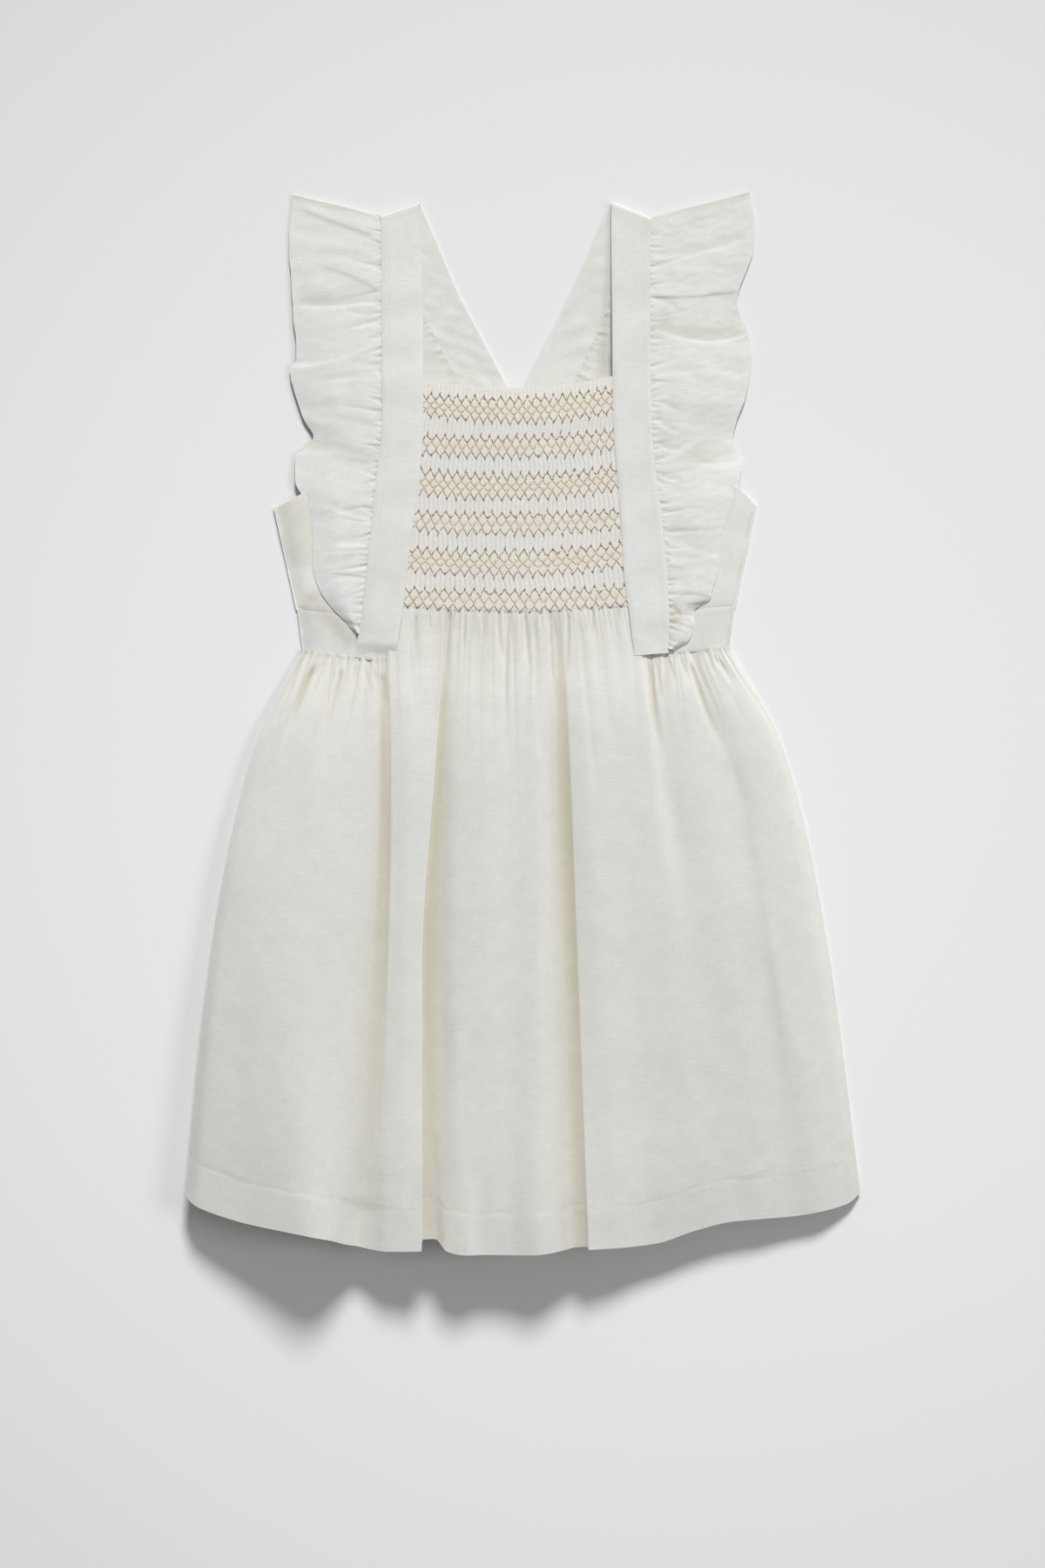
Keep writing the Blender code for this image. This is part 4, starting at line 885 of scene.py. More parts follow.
@dataclass(frozen=True)
class LinenFinish:
    """Undyed linen: an uneven plain weave, with painted shade that is warmer and darker in its folds,
    where light comes through the cloth.

    Lengths are in millimetres on the flat cloth.
    """

    name: str
    cool: tuple = (0.802, 0.808, 0.782, 1.0)
    # painted shade: colour factor at the bottom of a deep fold
    fold_shade_tint: tuple = (0.85, 0.805, 0.69)
    slub_length: float = 7.0
    slub_height: float = 0.6
    warp_width: float = 0.7
    warp_length: float = 5.0
    mottle: float = 9.0
    thread: float = 0.55
    slub_tone: float = 0.15
    warp_tone: float = 0.1
    mottle_tone: float = 0.1
    roughness: float = 0.92
    diffuse_roughness: float = 0.8
    glow: float = 0.45
    glow_reach: float = 0.9
    glow_colour: tuple = (1.0, 0.9, 0.78)
    sheen: float = 0.08
    sheen_roughness: float = 0.6
    specular: float = 0.1
    relief: float = 0.08
    warp_relief: float = 0.5
    weave_relief: float = 0.12

    def fold_shade_colour(self) -> tuple:
        """Painted shade colour at the bottom of a deep fold: the cool colour times the fold factor,
        part by part.
        """
        return tuple(a * b for a, b in zip(self.cool, self.fold_shade_tint)) + (1.0,)

    def material(self) -> bpy.types.Material:
        """Make the material.

        The colour runs from cool to the painted fold shade colour by the mesh's painted warmth, times
        its factor of painted light and shade, times one plus slubs, warp streaks and mottle. The relief
        is the slubs, the streaks and the crossing threads, a product of two sines.

        Returns:
            The material.
        """
        shader = Shader(self.name)
        flat = shader.node("ShaderNodeUVMap", {"uv_map": "cut"}, {}).scaled(1.0 / MM)
        slub = shader.noise(flat.stretched(self.slub_length, self.slub_height))
        warp = shader.noise(flat.stretched(self.warp_width, self.warp_length))
        mottle = shader.noise(flat.stretched(self.mottle, self.mottle), 3.0)
        unevenness = slub * self.slub_tone + warp * self.warp_tone + mottle * self.mottle_tone
        # painted shade and light of each point, read from the mesh attributes
        tone, warm_tint_and_shade = shader.attribute("tone"), shader.attribute("warm_tint_and_shade")
        ends = {"Factor": warm_tint_and_shade, 6: self.cool, 7: self.fold_shade_colour()}
        mixed = shader.node("ShaderNodeMix", {"data_type": "RGBA"}, ends, 2)
        colour = mixed.scaled(tone * (unevenness + 1.0))
        pace = 2.0 * math.pi / self.thread
        place = shader.node("ShaderNodeSeparateXYZ", {}, {0: flat}, 0)
        other = Value(shader, place.socket.node.outputs[1])
        weave = (place * pace).sine() * (other * pace).sine()
        height = slub + warp * self.warp_relief + weave * self.weave_relief
        relief = {"Strength": 1.0, "Distance": self.relief * MM, "Height": height}
        bump = shader.node("ShaderNodeBump", {}, relief)
        shader.fill(
            shader.surface,
            {
                "Base Color": colour,
                "Roughness": self.roughness,
                "Diffuse Roughness": self.diffuse_roughness,
                "Subsurface Weight": self.glow,
                "Subsurface Scale": self.glow_reach * MM,
                "Subsurface Radius": self.glow_colour,
                "Sheen Weight": self.sheen,
                "Sheen Roughness": self.sheen_roughness,
                "Specular IOR Level": self.specular,
                "Normal": bump,
            },
        )
        return shader.material


@dataclass(frozen=True)
class ThreadFinish:
    """Stranded embroidery cotton or sewing thread, a little lighter and darker along its length."""

    name: str
    colour: tuple
    roughness: float = 0.75
    patch: float = 3.0
    unevenness: float = 0.5

    def material(self) -> bpy.types.Material:
        """Make the material: the colour times one plus noise on the object's own coordinates.

        Returns:
            The material.
        """
        shader = Shader(self.name)
        place = shader.own_place().scaled(1.0 / (self.patch * MM))
        colour = shader.colour(self.colour).scaled(shader.noise(place) * self.unevenness + 1.0)
        shader.fill(shader.surface, {"Base Color": colour, "Roughness": self.roughness})
        return shader.material


class Slot(Enum):
    """The record's material slots."""

    FRONT = "linen_front"
    BACK = "linen_back"
    STRAP = "linen_strap"
    RUFFLE = "linen_ruffle"


class Held(Enum):
    """How a sheet of cloth lies."""

    GATHERED = "gathered"
    FOLDED = "folded"
    LAID = "laid"


# ---------------------------------------------------------------------------------------------
# Meshes
# ---------------------------------------------------------------------------------------------
def place_object(name: str, data: bpy.types.ID) -> bpy.types.Object:
    """Object with the given data, linked to the scene.

    Args:
        name: name of the object.
        data: its mesh, lamp or camera.

    Returns:
        The object.
    """
    item = bpy.data.objects.new(name, data)
    bpy.context.scene.collection.objects.link(item)
    return item


def add_object(
    name: str, points: np.ndarray, faces: list, material: bpy.types.Material
) -> bpy.types.Object:
    """Smooth-shaded mesh object from points in millimetres, measured as the tables are.

    Args:
        name: name of the object.
        points: places of its vertices.
        faces: vertex numbers of each face.
        material: its finish.

    Returns:
        The object, linked to the scene.
    """
    mesh = bpy.data.meshes.new(name)
    mesh.from_pydata((points - CENTRE) * MM, [], faces)
    mesh.materials.append(material)
    mesh.shade_smooth()
    return place_object(name, mesh)


@dataclass
class Sheet:
    """One piece of cloth as a grid of points [column, row, xyz], in millimetres.

    Its finish reads two painted values at each point: a warmer painted shade in folds and hollows, with
    the tan wash of the smocking thread on the bib, and a brightness factor of painted light and shade
    with a little random unevenness. keep tells which cells belong to it, and cut is each point's place
    on the flat cloth.
    """

    name: str
    points: np.ndarray
    wall: float
    looks_up: bool = True

    def __post_init__(self) -> None:
        """Start with no painted shade or light, all of it kept."""
        columns, lines = self.points.shape[:2]
        self.warm_tint_and_shade = np.zeros((columns, lines))
        self.tone = np.ones((columns, lines))
        self.keep = np.ones((columns - 1, lines - 1), bool)

    def plan(self) -> tuple:
        """x and y of every point."""
        return self.points[..., 0], self.points[..., 1]

    def lift(self, heights: np.ndarray) -> None:
        """Raise every point by its height."""
        self.points[..., 2] += heights

    def crease(
        self,
        creases: tuple,
        depth: float,
        tint: float,
        share: np.ndarray | float = 1.0,
        flare: float = 0.0,
    ) -> None:
        """Press creases into the sheet and paint warmer shade into them.

        Each adds its height times depth, and paints shade into the cloth, warmer up to its warmth times
        tint, eased in as its shape grows; share weighs both.

        Args:
            creases: the creases.
            depth: how much of their height the cloth shows.
            tint: how strong their painted warmer shade is.
            share: how much of them each place takes.
            flare: how much wider they get along their way.
        """
        for crease in creases:
            shape = crease.shape(*self.plan(), flare) * share
            self.lift(crease.height * depth * shape)
            core = smooth((shape - 0.1) / 0.8)
            self.warm_tint_and_shade = np.maximum(self.warm_tint_and_shade, np.minimum(crease.warm_tint_and_shade * tint, 1.0) * core)

    def gather(self, heights: np.ndarray, depth: float, tint: float) -> None:
        """Add tucks of the given heights, and paint warmer shade into them by how much of depth they
        reach.
        """
        self.lift(heights)
        self.warm_tint_and_shade = np.maximum(self.warm_tint_and_shade, smooth((-heights / depth - 0.08) / 0.8) * tint)

    def lay_out(self, column: int, row: int) -> None:
        """Place every point on the flat cloth: u as far along one row, v as far down one column."""
        run = arc(self.points[:, row]), arc(self.points[column])
        self.cut = np.stack(np.meshgrid(*run, indexing="ij"), axis=-1)

    def build(self, material: bpy.types.Material) -> bpy.types.Object:
        """Make the object: a quad for each cell that is kept, and a wall on the inner side.

        Args:
            material: its finish.

        Returns:
            The object.
        """
        columns, rows = self.points.shape[:2]
        number = np.arange(columns * rows).reshape(columns, rows)
        corners = (number[:-1, :-1], number[1:, :-1], number[1:, 1:], number[:-1, 1:])
        cells = np.stack(corners, axis=-1)[self.keep]
        places = self.points.reshape(-1, 3)
        first = places[cells[0]]
        up = np.cross(first[2] - first[0], first[3] - first[1])[2] > 0.0
        if up != self.looks_up:
            cells = cells[:, ::-1]
        used, local = np.unique(cells, return_inverse=True)
        local = local.reshape(cells.shape)
        item = add_object(self.name, places[used], local.tolist(), material)
        mesh = item.data
        # painted shade and light of each point go to the mesh for its finish
        for label, values in (("warm_tint_and_shade", self.warm_tint_and_shade), ("tone", self.tone)):
            layer = mesh.attributes.new(label, "FLOAT", "POINT")
            layer.data.foreach_set("value", values.reshape(-1)[used].astype(np.float32))
        side = np.empty(len(mesh.loops), dtype=np.int32)
        mesh.loops.foreach_get("edge_index", side)
        rim = np.bincount(side, minlength=len(mesh.edges)) == 1
        mesh.attributes.new("sharp_edge", "BOOLEAN", "EDGE").data.foreach_set("value", rim)
        corner = np.empty(len(mesh.loops), dtype=np.int32)
        mesh.loops.foreach_get("vertex_index", corner)
        flat = self.cut.reshape(-1, 2)[used][corner] * MM
        layer = mesh.uv_layers.new(name="cut")
        layer.data.foreach_set("uv", flat.astype(np.float32).ravel())
        wall = item.modifiers.new("wall", "SOLIDIFY")
        wall.thickness = self.wall * MM
        wall.offset = -1.0
        wall.use_even_offset = False
        wall.use_quality_normals = True
        return item


@dataclass(frozen=True)
class Cut:
    """The flat cloth that a piece is cut from, in metres, and how it is held."""

    width: float
    length: float
    held: Held
    area: float | None = None
    rests_on: tuple = ()


def enter(item: bpy.types.Object, nodes: tuple) -> None:
    """Attach a piece to the frame's body, hide the nodes of the model that it replaces and log its
    faces.

    Args:
        item: the piece.
        nodes: the nodes of the model that it stands for.
    """
    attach(item, BODY)
    if nodes:
        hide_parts(*nodes)
    LOG.info("%s: %d faces", item.name, len(item.data.polygons))


@dataclass(frozen=True)
class Thread:
    """Short lengths of round thread as one joined mesh, in millimetres."""

    radius: float
    sides: int = 6
    stations: tuple = (0.0, 0.12, 0.5, 0.88, 1.0)
    girths: tuple = (0.35, 0.95, 1.0, 0.95, 0.35)

    def lengths(self, paths: np.ndarray) -> tuple:
        """Tubes on paths[stitch, station, xyz]: a ring at each station, square to the path.

        Each ring point is the station plus the radius times its girth times (cosine of its angle
        times the side direction plus sine times the direction that looks up).

        Args:
            paths: the stitches' middle lines.

        Returns:
            The points, and the faces as lists of vertex numbers.
        """
        heading = np.gradient(paths, axis=1)
        heading /= np.linalg.norm(heading, axis=-1, keepdims=True) + 1e-9
        side = np.cross(heading, np.array((0.0, 0.0, 1.0)))
        side /= np.linalg.norm(side, axis=-1, keepdims=True) + 1e-9
        upward = np.cross(side, heading)
        angle = np.arange(self.sides) * 2.0 * math.pi / self.sides
        girth = self.radius * np.array(self.girths)[None, :, None, None]
        turn = side[:, :, None] * np.cos(angle)[:, None] + upward[:, :, None] * np.sin(angle)[:, None]
        points = paths[:, :, None] + girth * turn
        count, rings = paths.shape[:2]
        number = np.arange(count * rings * self.sides).reshape(count, rings, self.sides)
        beside = np.roll(number, -1, axis=2)
        corners = (number[:, :-1], beside[:, :-1], beside[:, 1:], number[:, 1:])
        quads = np.stack(corners, axis=-1).reshape(-1, 4)
        caps = np.concatenate((number[:, 0, ::-1], number[:, -1]))
        return points.reshape(-1, 3), quads.tolist() + caps.tolist()


# ---------------------------------------------------------------------------------------------
# Smocked bib
# ---------------------------------------------------------------------------------------------
class BandKind(Enum):
    """The two kinds of smocked band, by their rows of pinches."""

    WIDE = (0.0, 0.31, 0.5, 0.70, 1.0)
    NARROW = (0.0, 0.31, 0.66, 1.0)

    @property
    def pinches(self) -> tuple:
        """Share of the band's height at each row of pinches."""
        return self.value


# y at the left edge, middle and right edge of a band's top and bottom; parity is the phase, in
# diamonds, of the pinches on its top row, and shift how far its pleats stand to the right.
SmockBand = namedtuple("SmockBand", "name kind top_l top_m top_r low_l low_m low_r parity shift")
SMOCK_BANDS = rows(
    SmockBand,
    ("first", BandKind.WIDE, 170.0, 167.5, 173.5, 158.5, 153.0, 159.5, 0.0, 0.0),
    ("second", BandKind.NARROW, 148.5, 147.0, 151.0, 138.0, 135.0, 140.0, 0.0, -0.3),
    ("third", BandKind.WIDE, 131.5, 128.0, 132.5, 117.0, 113.5, 119.0, 0.5, -0.3),
    ("fourth", BandKind.NARROW, 109.0, 107.5, 110.0, 98.5, 95.5, 99.5, 0.5, -0.2),
    ("fifth", BandKind.WIDE, 91.0, 88.5, 93.0, 77.5, 74.0, 79.5, 0.0, -0.2),
    ("sixth", BandKind.NARROW, 69.5, 68.0, 71.0, 59.0, 56.0, 59.0, 0.0, -0.1),
)


class ThreadColour(Enum):
    """The three shades of embroidery thread."""

    DARK = linear(134, 117, 88)
    BROWN = linear(178, 152, 114)
    TAN = linear(216, 198, 164)


@dataclass
class Bib:
    """Hand-smocked bib: pleats that the embroidery pinches into bands of diamonds.

    A place on it is w, the share of its width, and v, the row number of the level table. u counts
    the diamonds across, and q the rows of pinches down a band.
    """

    diamonds: float = 23.5
    phase: float = 2.0 / 12.0
    columns_a_diamond: int = 12
    rows: int = 158
    top_z: float = 7.5
    crown: float = 1.5
    flat_edge: float = 0.06
    pleat: float = 0.36
    pleat_in_band: float = 0.22
    puff: float = 0.11
    draw_in: float = 0.04
    wave: float = 0.42
    wall: float = 0.4
    thread_radius: float = 0.21
    neckline: tuple = (176.6, 171.6, 178.8)
    lap: tuple = (55.6, 52.6, 55.6)
    border: float = 1.3
    early: float = 0.35
    sway_pace: float = 0.62
    sway_across: float = 5.2
    sway_lean: float = 0.09
    looseness: float = 0.22
    loose_step: float = 2.3
    loose_lean: float = 0.11
    loose_pace: float = 0.31
    loose_across: float = 9.0
    roundness: float = 0.8
    mean_ripple: float = 0.62
    plain_from: float = 167.5
    plain_run: float = 1.5
    plain_share: float = 0.85
    edge_run: float = 0.05
    dip: float = 1.6
    dip_from: float = 57.5
    dip_run: float = 4.0
    roll: float = 0.05
    roll_from: float = 170.3
    roll_run: float = 1.3
    # tan wash of the thread, weaker on the puffs as painted shade; warmer cloth in the bands; bands
    # painted lighter; painted shade in the pleat valleys
    lattice_tan_and_shade: tuple = (0.68, 0.3)
    cloth_warmth_and_shade: tuple = (0.2, 0.2)
    band_light: float = 0.05
    valley_shade: tuple = (0.07, 0.03)
    valley_power: float = 1.5
    side_margin: float = 0.012
    unevenness: tuple = (0.04, 0.08)
    q_range: tuple = (-0.6, 9.0)
    draw_seed: int = 40

    def __post_init__(self) -> None:
        """Work out the level table.

        Its columns are y at the left, middle and right, q, the in-band share, parity and shift.
        """
        levels = [(*self.neckline, 0.0, 0.0, SMOCK_BANDS[0].parity, SMOCK_BANDS[0].shift)]
        self.band_rows = []
        for band in SMOCK_BANDS:
            top = np.array((band.top_l, band.top_m, band.top_r))
            low = np.array((band.low_l, band.low_m, band.low_r))
            self.band_rows.append(len(levels))
            for row, share in enumerate(band.kind.pinches):
                levels.append((*(top + (low - top) * share), row, 1.0, band.parity, band.shift))
        last = levels[-1]
        levels.append((*self.lap, last[3], 0.0, last[5], last[6]))
        self.levels = np.array(levels, dtype=float)

    def level(self, v: np.ndarray) -> dict:
        """What the level table says at each v, straight between its rows.

        The phase of a wave along u turns by half a diamond for each odd row of pinches, so the
        pinches of one band's last row are those of the next band's first row.

        Args:
            v: row number of the level table.

        Returns:
            Each column at each v, by its name.
        """
        knots = np.arange(len(self.levels))
        names = ("left", "middle", "right", "q", "inside", "parity", "shift")
        found = {name: np.interp(v, knots, self.levels[:, k]) for k, name in enumerate(names)}
        row = np.clip(np.floor(v + 1e-6).astype(int), 0, len(self.levels) - 1)
        after = np.clip(row + 1, 0, len(self.levels) - 1)
        same_band = self.levels[after, 3] > self.levels[row, 3]
        nearer = np.where(v - row < 0.5, row, after)
        found["q"] = np.where(same_band, found["q"], self.levels[nearer, 3])
        found["parity"] = np.where(same_band, self.levels[row, 5], self.levels[nearer, 5])
        return found

    def in_band(self, y_middle: np.ndarray) -> np.ndarray:
        """Share from 0 between the bands to 1 inside one, eased over the band's border.

        Args:
            y_middle: y at the middle of the bib.

        Returns:
            The share at each y.
        """
        total = np.zeros_like(y_middle)
        for band in SMOCK_BANDS:
            into = np.minimum(band.top_m - y_middle, y_middle - band.low_m)
            total = np.maximum(total, smooth((into + self.border) / (2.0 * self.border)))
        return total

    def sides(self, y: np.ndarray) -> tuple:
        """Edges of the bib at each middle y.

        Args:
            y: y at the middle of the bib.

        Returns:
            x of the left and the right edge, and the share of skirt height.
        """
        table = sorted((side.y, side.left, side.right, side.gathers) for side in BIB_SIDES)
        knots, *values = np.array(table).T
        found = through(knots, np.stack(values, axis=1), np.clip(y.ravel(), knots[0], knots[-1]))
        return tuple(part.reshape(y.shape) for part in found.T)

    def base_height(self, w: np.ndarray) -> np.ndarray:
        """Height of the flat bib: level under the straps and crowned between them."""
        inner = 0.5 - np.abs(w - 0.5)
        return self.top_z + self.crown * smooth((inner - self.flat_edge) / (0.5 - self.flat_edge))

    def ripple(self, u: np.ndarray) -> np.ndarray:
        """Height of the pleats from 0 to 1: the size of the sine of u, made rounder by a power."""
        return np.abs(np.sin(2.0 * math.pi * u)) ** self.roundness

    def surface(self, w: np.ndarray, v: np.ndarray) -> tuple:
        """Point, puff and pleat at each place.

        Across, a point moves by draw_in times the sine of its phase times the cosine of pi q, so
        neighbouring pleats meet in pairs that change over at every row. Between the bands all
        pleats sway together. Up, the pleats are the bent sine of u and the puffs are minus cosine
        of the phase times cosine of pi q, which fills the diamonds and sinks the pinches.

        Args:
            w: share of the bib's width.
            v: row number of the level table.

        Returns:
            The points, how far each is into a puff from -1 to 1, and its height in its pleat.
        """
        at = self.level(v)
        chord = at["left"] + (at["right"] - at["left"]) * w
        sag = at["middle"] - 0.5 * (at["left"] + at["right"])
        y = chord + sag * 4.0 * w * (1.0 - w)
        left, right, _ = self.sides(at["middle"])
        u = w * self.diamonds + self.phase
        turn = 2.0 * math.pi * (u - at["parity"])
        beat = np.cos(math.pi * at["q"])
        band = self.in_band(at["middle"])
        near = smooth((band + self.early) / (1.0 + self.early))
        pitch = (right - left) / self.diamonds
        sway = self.wave * (1.0 - band) * np.sin(at["middle"] * self.sway_pace)
        sway *= np.cos(self.sway_across * w + self.sway_lean * at["middle"])
        drawn = -self.draw_in * np.sin(turn) * beat * near
        x = left + (right - left) * w + pitch * (at["shift"] + drawn) + sway
        step = np.sin(self.loose_step * np.floor(2.0 * u) + self.loose_lean * y)
        loose = 1.0 + self.looseness * step * np.sin(self.loose_pace * y + w * self.loose_across)
        ripple = self.ripple(u)
        deep = self.pleat + (self.pleat_in_band - self.pleat) * band
        deep *= 1.0 - self.plain_share * smooth((at["middle"] - self.plain_from) / self.plain_run)
        puff = -np.cos(turn) * beat * band
        edge = smooth((0.5 - np.abs(w - 0.5)) / self.edge_run)
        relief = deep * loose * (ripple - self.mean_ripple) + self.puff * puff
        z = self.base_height(w) + edge * relief
        return np.stack((x, y, z), axis=-1), puff, ripple

    def sheet(self) -> Sheet:
        """The bib's sheet, whose lowest rows dip under the top of the skirt.

        Returns:
            The sheet.
        """
        columns = int(self.diamonds * self.columns_a_diamond)
        down = np.linspace(self.levels[0, 1], self.levels[-1, 1], self.rows)
        w, middle = np.meshgrid(np.linspace(0.0, 1.0, columns + 1), down, indexing="ij")
        v = np.interp(-middle, -self.levels[:, 1], np.arange(len(self.levels)))
        points, puff, ripple = self.surface(w, v)
        sheet = Sheet("smocked_bib", points, self.wall)
        sheet.lift(-self.dip * smooth((self.dip_from - middle) / self.dip_run))
        sheet.lift(-self.roll * smooth((middle - self.roll_from) / self.roll_run))
        band, core = self.in_band(middle), self.lattice(v)
        # the tan wash of the thread, with painted shade: weaker on the puffs, and the cloth warmer in
        # the bands
        thread = np.clip(self.lattice_tan_and_shade[0] - self.lattice_tan_and_shade[1] * puff, 0.0, 1.0)
        cloth = self.cloth_warmth_and_shade[0] + self.cloth_warmth_and_shade[1] * band
        sheet.warm_tint_and_shade = core * thread + (1.0 - core) * cloth
        # painted shade in the pleat valleys; the bands are painted lighter
        valley = (1.0 - ripple) ** self.valley_power
        darker = self.valley_shade[0] * (1.0 - band) + self.valley_shade[1] * band
        sheet.tone = 1.0 + self.band_light * band - darker * valley
        sheet.lay_out(columns // 2, self.rows // 2)
        return sheet

    def lattice(self, v: np.ndarray) -> np.ndarray:
        """Share from 0 to 1 of the part of a band that tan thread covers: past its first row.

        Args:
            v: row number of the level table.

        Returns:
            The share at each v.
        """
        total = np.zeros_like(v)
        for band, first in zip(SMOCK_BANDS, self.band_rows):
            q, last = v - first, len(band.kind.pinches) - 1
            total = np.maximum(total, smooth((q - 0.75) / 0.5) * smooth((last - 0.85 - q) / 0.5))
        return total

    def stitch_paths(self, band: int, strokes: list, stations: tuple) -> np.ndarray:
        """Middle lines of one kind of stitch, one for each diamond and stroke.

        Args:
            band: number of the band.
            strokes: (u from, q from, u to, q to) of each stroke, from the diamond's own apex.
            stations: shares of the stroke's length where a ring stands.

        Returns:
            The lines, as points [stitch, station, xyz].
        """
        first = self.band_rows[band]
        kind = SMOCK_BANDS[band]
        apexes = np.arange(1.0, math.ceil(self.diamonds)) + kind.parity
        draw = np.random.default_rng(self.draw_seed + band)
        start = np.array([stroke[:2] for stroke in strokes])
        end = np.array([stroke[2:] for stroke in strokes])
        share = np.array(stations)[None, None, :, None]
        line = start[None, :, None] + (end - start)[None, :, None] * share
        line = np.repeat(line, len(apexes), axis=0)
        line += draw.normal(0.0, 1.0, (len(apexes), len(strokes), 1, 2)) * np.array(self.unevenness)
        u = line[..., 0] + apexes[:, None, None]
        w = (u - self.phase) / self.diamonds
        inside = (w.min(axis=2) > self.side_margin) & (w.max(axis=2) < 1.0 - self.side_margin)
        v = first + np.clip(line[..., 1], *self.q_range)
        points, _, _ = self.surface(w, v)
        bow = np.sin(math.pi * np.array(stations))
        points[..., 2] += self.thread_radius * (0.35 + 0.5 * bow)
        return points[inside]

    def stitches(self) -> dict:
        """Strokes of each thread colour for every band.

        Dark legs fall from each apex to its feet, with a dot on the apex; tan thread crosses the
        lattice; brown bars lie at the tops of the lower legs, which run together to a tip.

        Returns:
            For each colour, the list of line arrays.
        """
        found = {colour: [] for colour in ThreadColour}
        for number, band in enumerate(SMOCK_BANDS):
            wide = band.kind is BandKind.WIDE
            top = 3.0 if wide else 2.0
            tops = 0.5 if wide else 0.0
            dark = [
                (0.03, -0.12, -0.12, 0.26),
                (0.02, -0.02, 0.15, 0.3),
                (-0.33, 0.66, -0.45, 0.92),
                (0.34, 0.68, 0.45, 0.92),
            ]
            low = [
                (tops - 0.36, top + 0.72, tops - 0.5, top + 1.1),
                (tops + 0.35, top + 0.72, tops + 0.48, top + 1.02),
            ]
            brown = [
                (-0.14, 0.28, -0.34, 0.7),
                (0.16, 0.3, 0.35, 0.7),
                (tops - 0.03, top + 0.05, tops - 0.34, top + 0.72),
                (tops + 0.03, top + 0.05, tops + 0.34, top + 0.72),
            ]
            tan = [(-0.46, 1.05, -0.06, 1.9), (0.46, 1.05, 0.06, 1.9), (0.4, 1.0, 0.6, 1.03)]
            if wide:
                tan += [(0.05, 2.1, 0.45, 2.9), (-0.05, 2.1, -0.45, 2.9), (-0.12, 2.0, 0.12, 2.02)]
            stations = Thread(self.thread_radius).stations
            for colour, strokes in (
                (ThreadColour.DARK, dark + low),
                (ThreadColour.BROWN, brown),
                (ThreadColour.TAN, tan),
            ):
                found[colour].append(self.stitch_paths(number, strokes, stations))
        return found

    def build(self, linen: bpy.types.Material) -> None:
        """Make the bib and its embroidery.

        Args:
            linen: finish of the bib.
        """
        item = self.sheet().build(linen)
        enter(item, ("front_panel",))
        for colour, lines in self.stitches().items():
            label = colour.name.lower()
            finish = ThreadFinish("embroidery_" + label, colour.value)
            points, faces = Thread(self.thread_radius).lengths(np.concatenate(lines))
            thread = add_object("smocking_" + label, points, faces, finish.material())
            enter(thread, ())


# ---------------------------------------------------------------------------------------------
# Skirt
# ---------------------------------------------------------------------------------------------
# Gathers of the skirt front: a factor on their heights, the depth and strength of the painted warmer
# shade in them, and the distance over which they come in, 0 for at once.
GatherRow = namedtuple("GatherRow", "gathers factor depth tint ease")
WAIST_GATHERS = rows(
    GatherRow,
    (Gathers(2.6, 0.6, 11.0, 0.6, 0.12, 11), 1.0, 0.6, 0.5, 0.0),
    (Gathers(5.5, 0.6, 36.0, 0.8, 0.12, 14), 1.0, 0.6, 0.6, 0.0),
    (Gathers(7.5, 0.9, 46.0, 1.8, 0.15, 18), 1.25, 1.1, 0.45, 0.0),
)
BIB_GATHERS = rows(
    GatherRow,
    (Gathers(3.2, 0.45, 15.0, 0.55, 0.05, 15), 1.0, 0.3, 0.3, 0.0),
    (Gathers(5.5, 0.5, 52.0, 0.9, 0.05, 16), 1.0, 0.42, 0.35, 0.0),
    (Gathers(8.5, 0.9, 62.0, 2.4, 0.05, 17), 1.3, 1.1, 0.25, 12.0),
)
BACK_TUCKS = Gathers(3.2, 1.3, 22.0, 1.1, 0.1, 12)


def skirt_grid(folds: tuple, down: np.ndarray, columns: int, drop: float) -> tuple:
    """Skirt panel through its fold lines, from the waist seam to the hem.

    Args:
        folds: its fold lines.
        down: share of the skirt's length at each row.
        columns: number of columns, even over the waist and the lower level at once.
        drop: distance of its top edge below the seam line.

    Returns:
        The points, and each column's parameter, the number of its fold line.
    """
    lines = []
    for fold in folds:
        x, z = (through(SKIRT_LEVELS, fold[k : k + 4], down) for k in (1, 5))
        lines.append(np.stack((x, fold.y_hem * down, z), axis=1))
    lines = np.array(lines)
    lower = np.searchsorted(down, SKIRT_LEVELS[2])
    across = even_parameters([lines[:, 0], lines[:, lower]], WAIST_AND_LOWER, columns)
    points = through(np.arange(len(folds)), lines, across)
    waist = seam_y(WAIST_SEAM, points[:, 0, 0]) - drop
    points[:, :, 1] += waist[:, None] * (1.0 - down)
    return points, across


def crowded_rows(count: int, near_waist: float, hem: float, hem_width: float) -> np.ndarray:
    """Rows from 0 to 1 that crowd at the waist and about the hem's stitch line.

    The density is 1, plus near_waist fading out over a tenth of the length, plus a bell at the hem
    line; the rows stand at equal steps of its sum.

    Args:
        count: number of rows.
        near_waist: extra density at the waist.
        hem: place of the hem's stitch line.
        hem_width: width of the bells.

    Returns:
        The rows.
    """
    fade, at_line, at_edge = 0.1, 4.0, 2.0
    share = np.linspace(0.0, 1.0, FINE_STEPS + 1)
    density = 1.0 + near_waist * np.exp(-share / fade) + at_line * bell(share - hem, hem_width)
    density += at_edge * bell(share - 1.0, hem_width)
    total = np.concatenate(([0.0], np.cumsum(density[:-1])))
    return np.interp(np.linspace(0.0, total[-1], count), total, share)


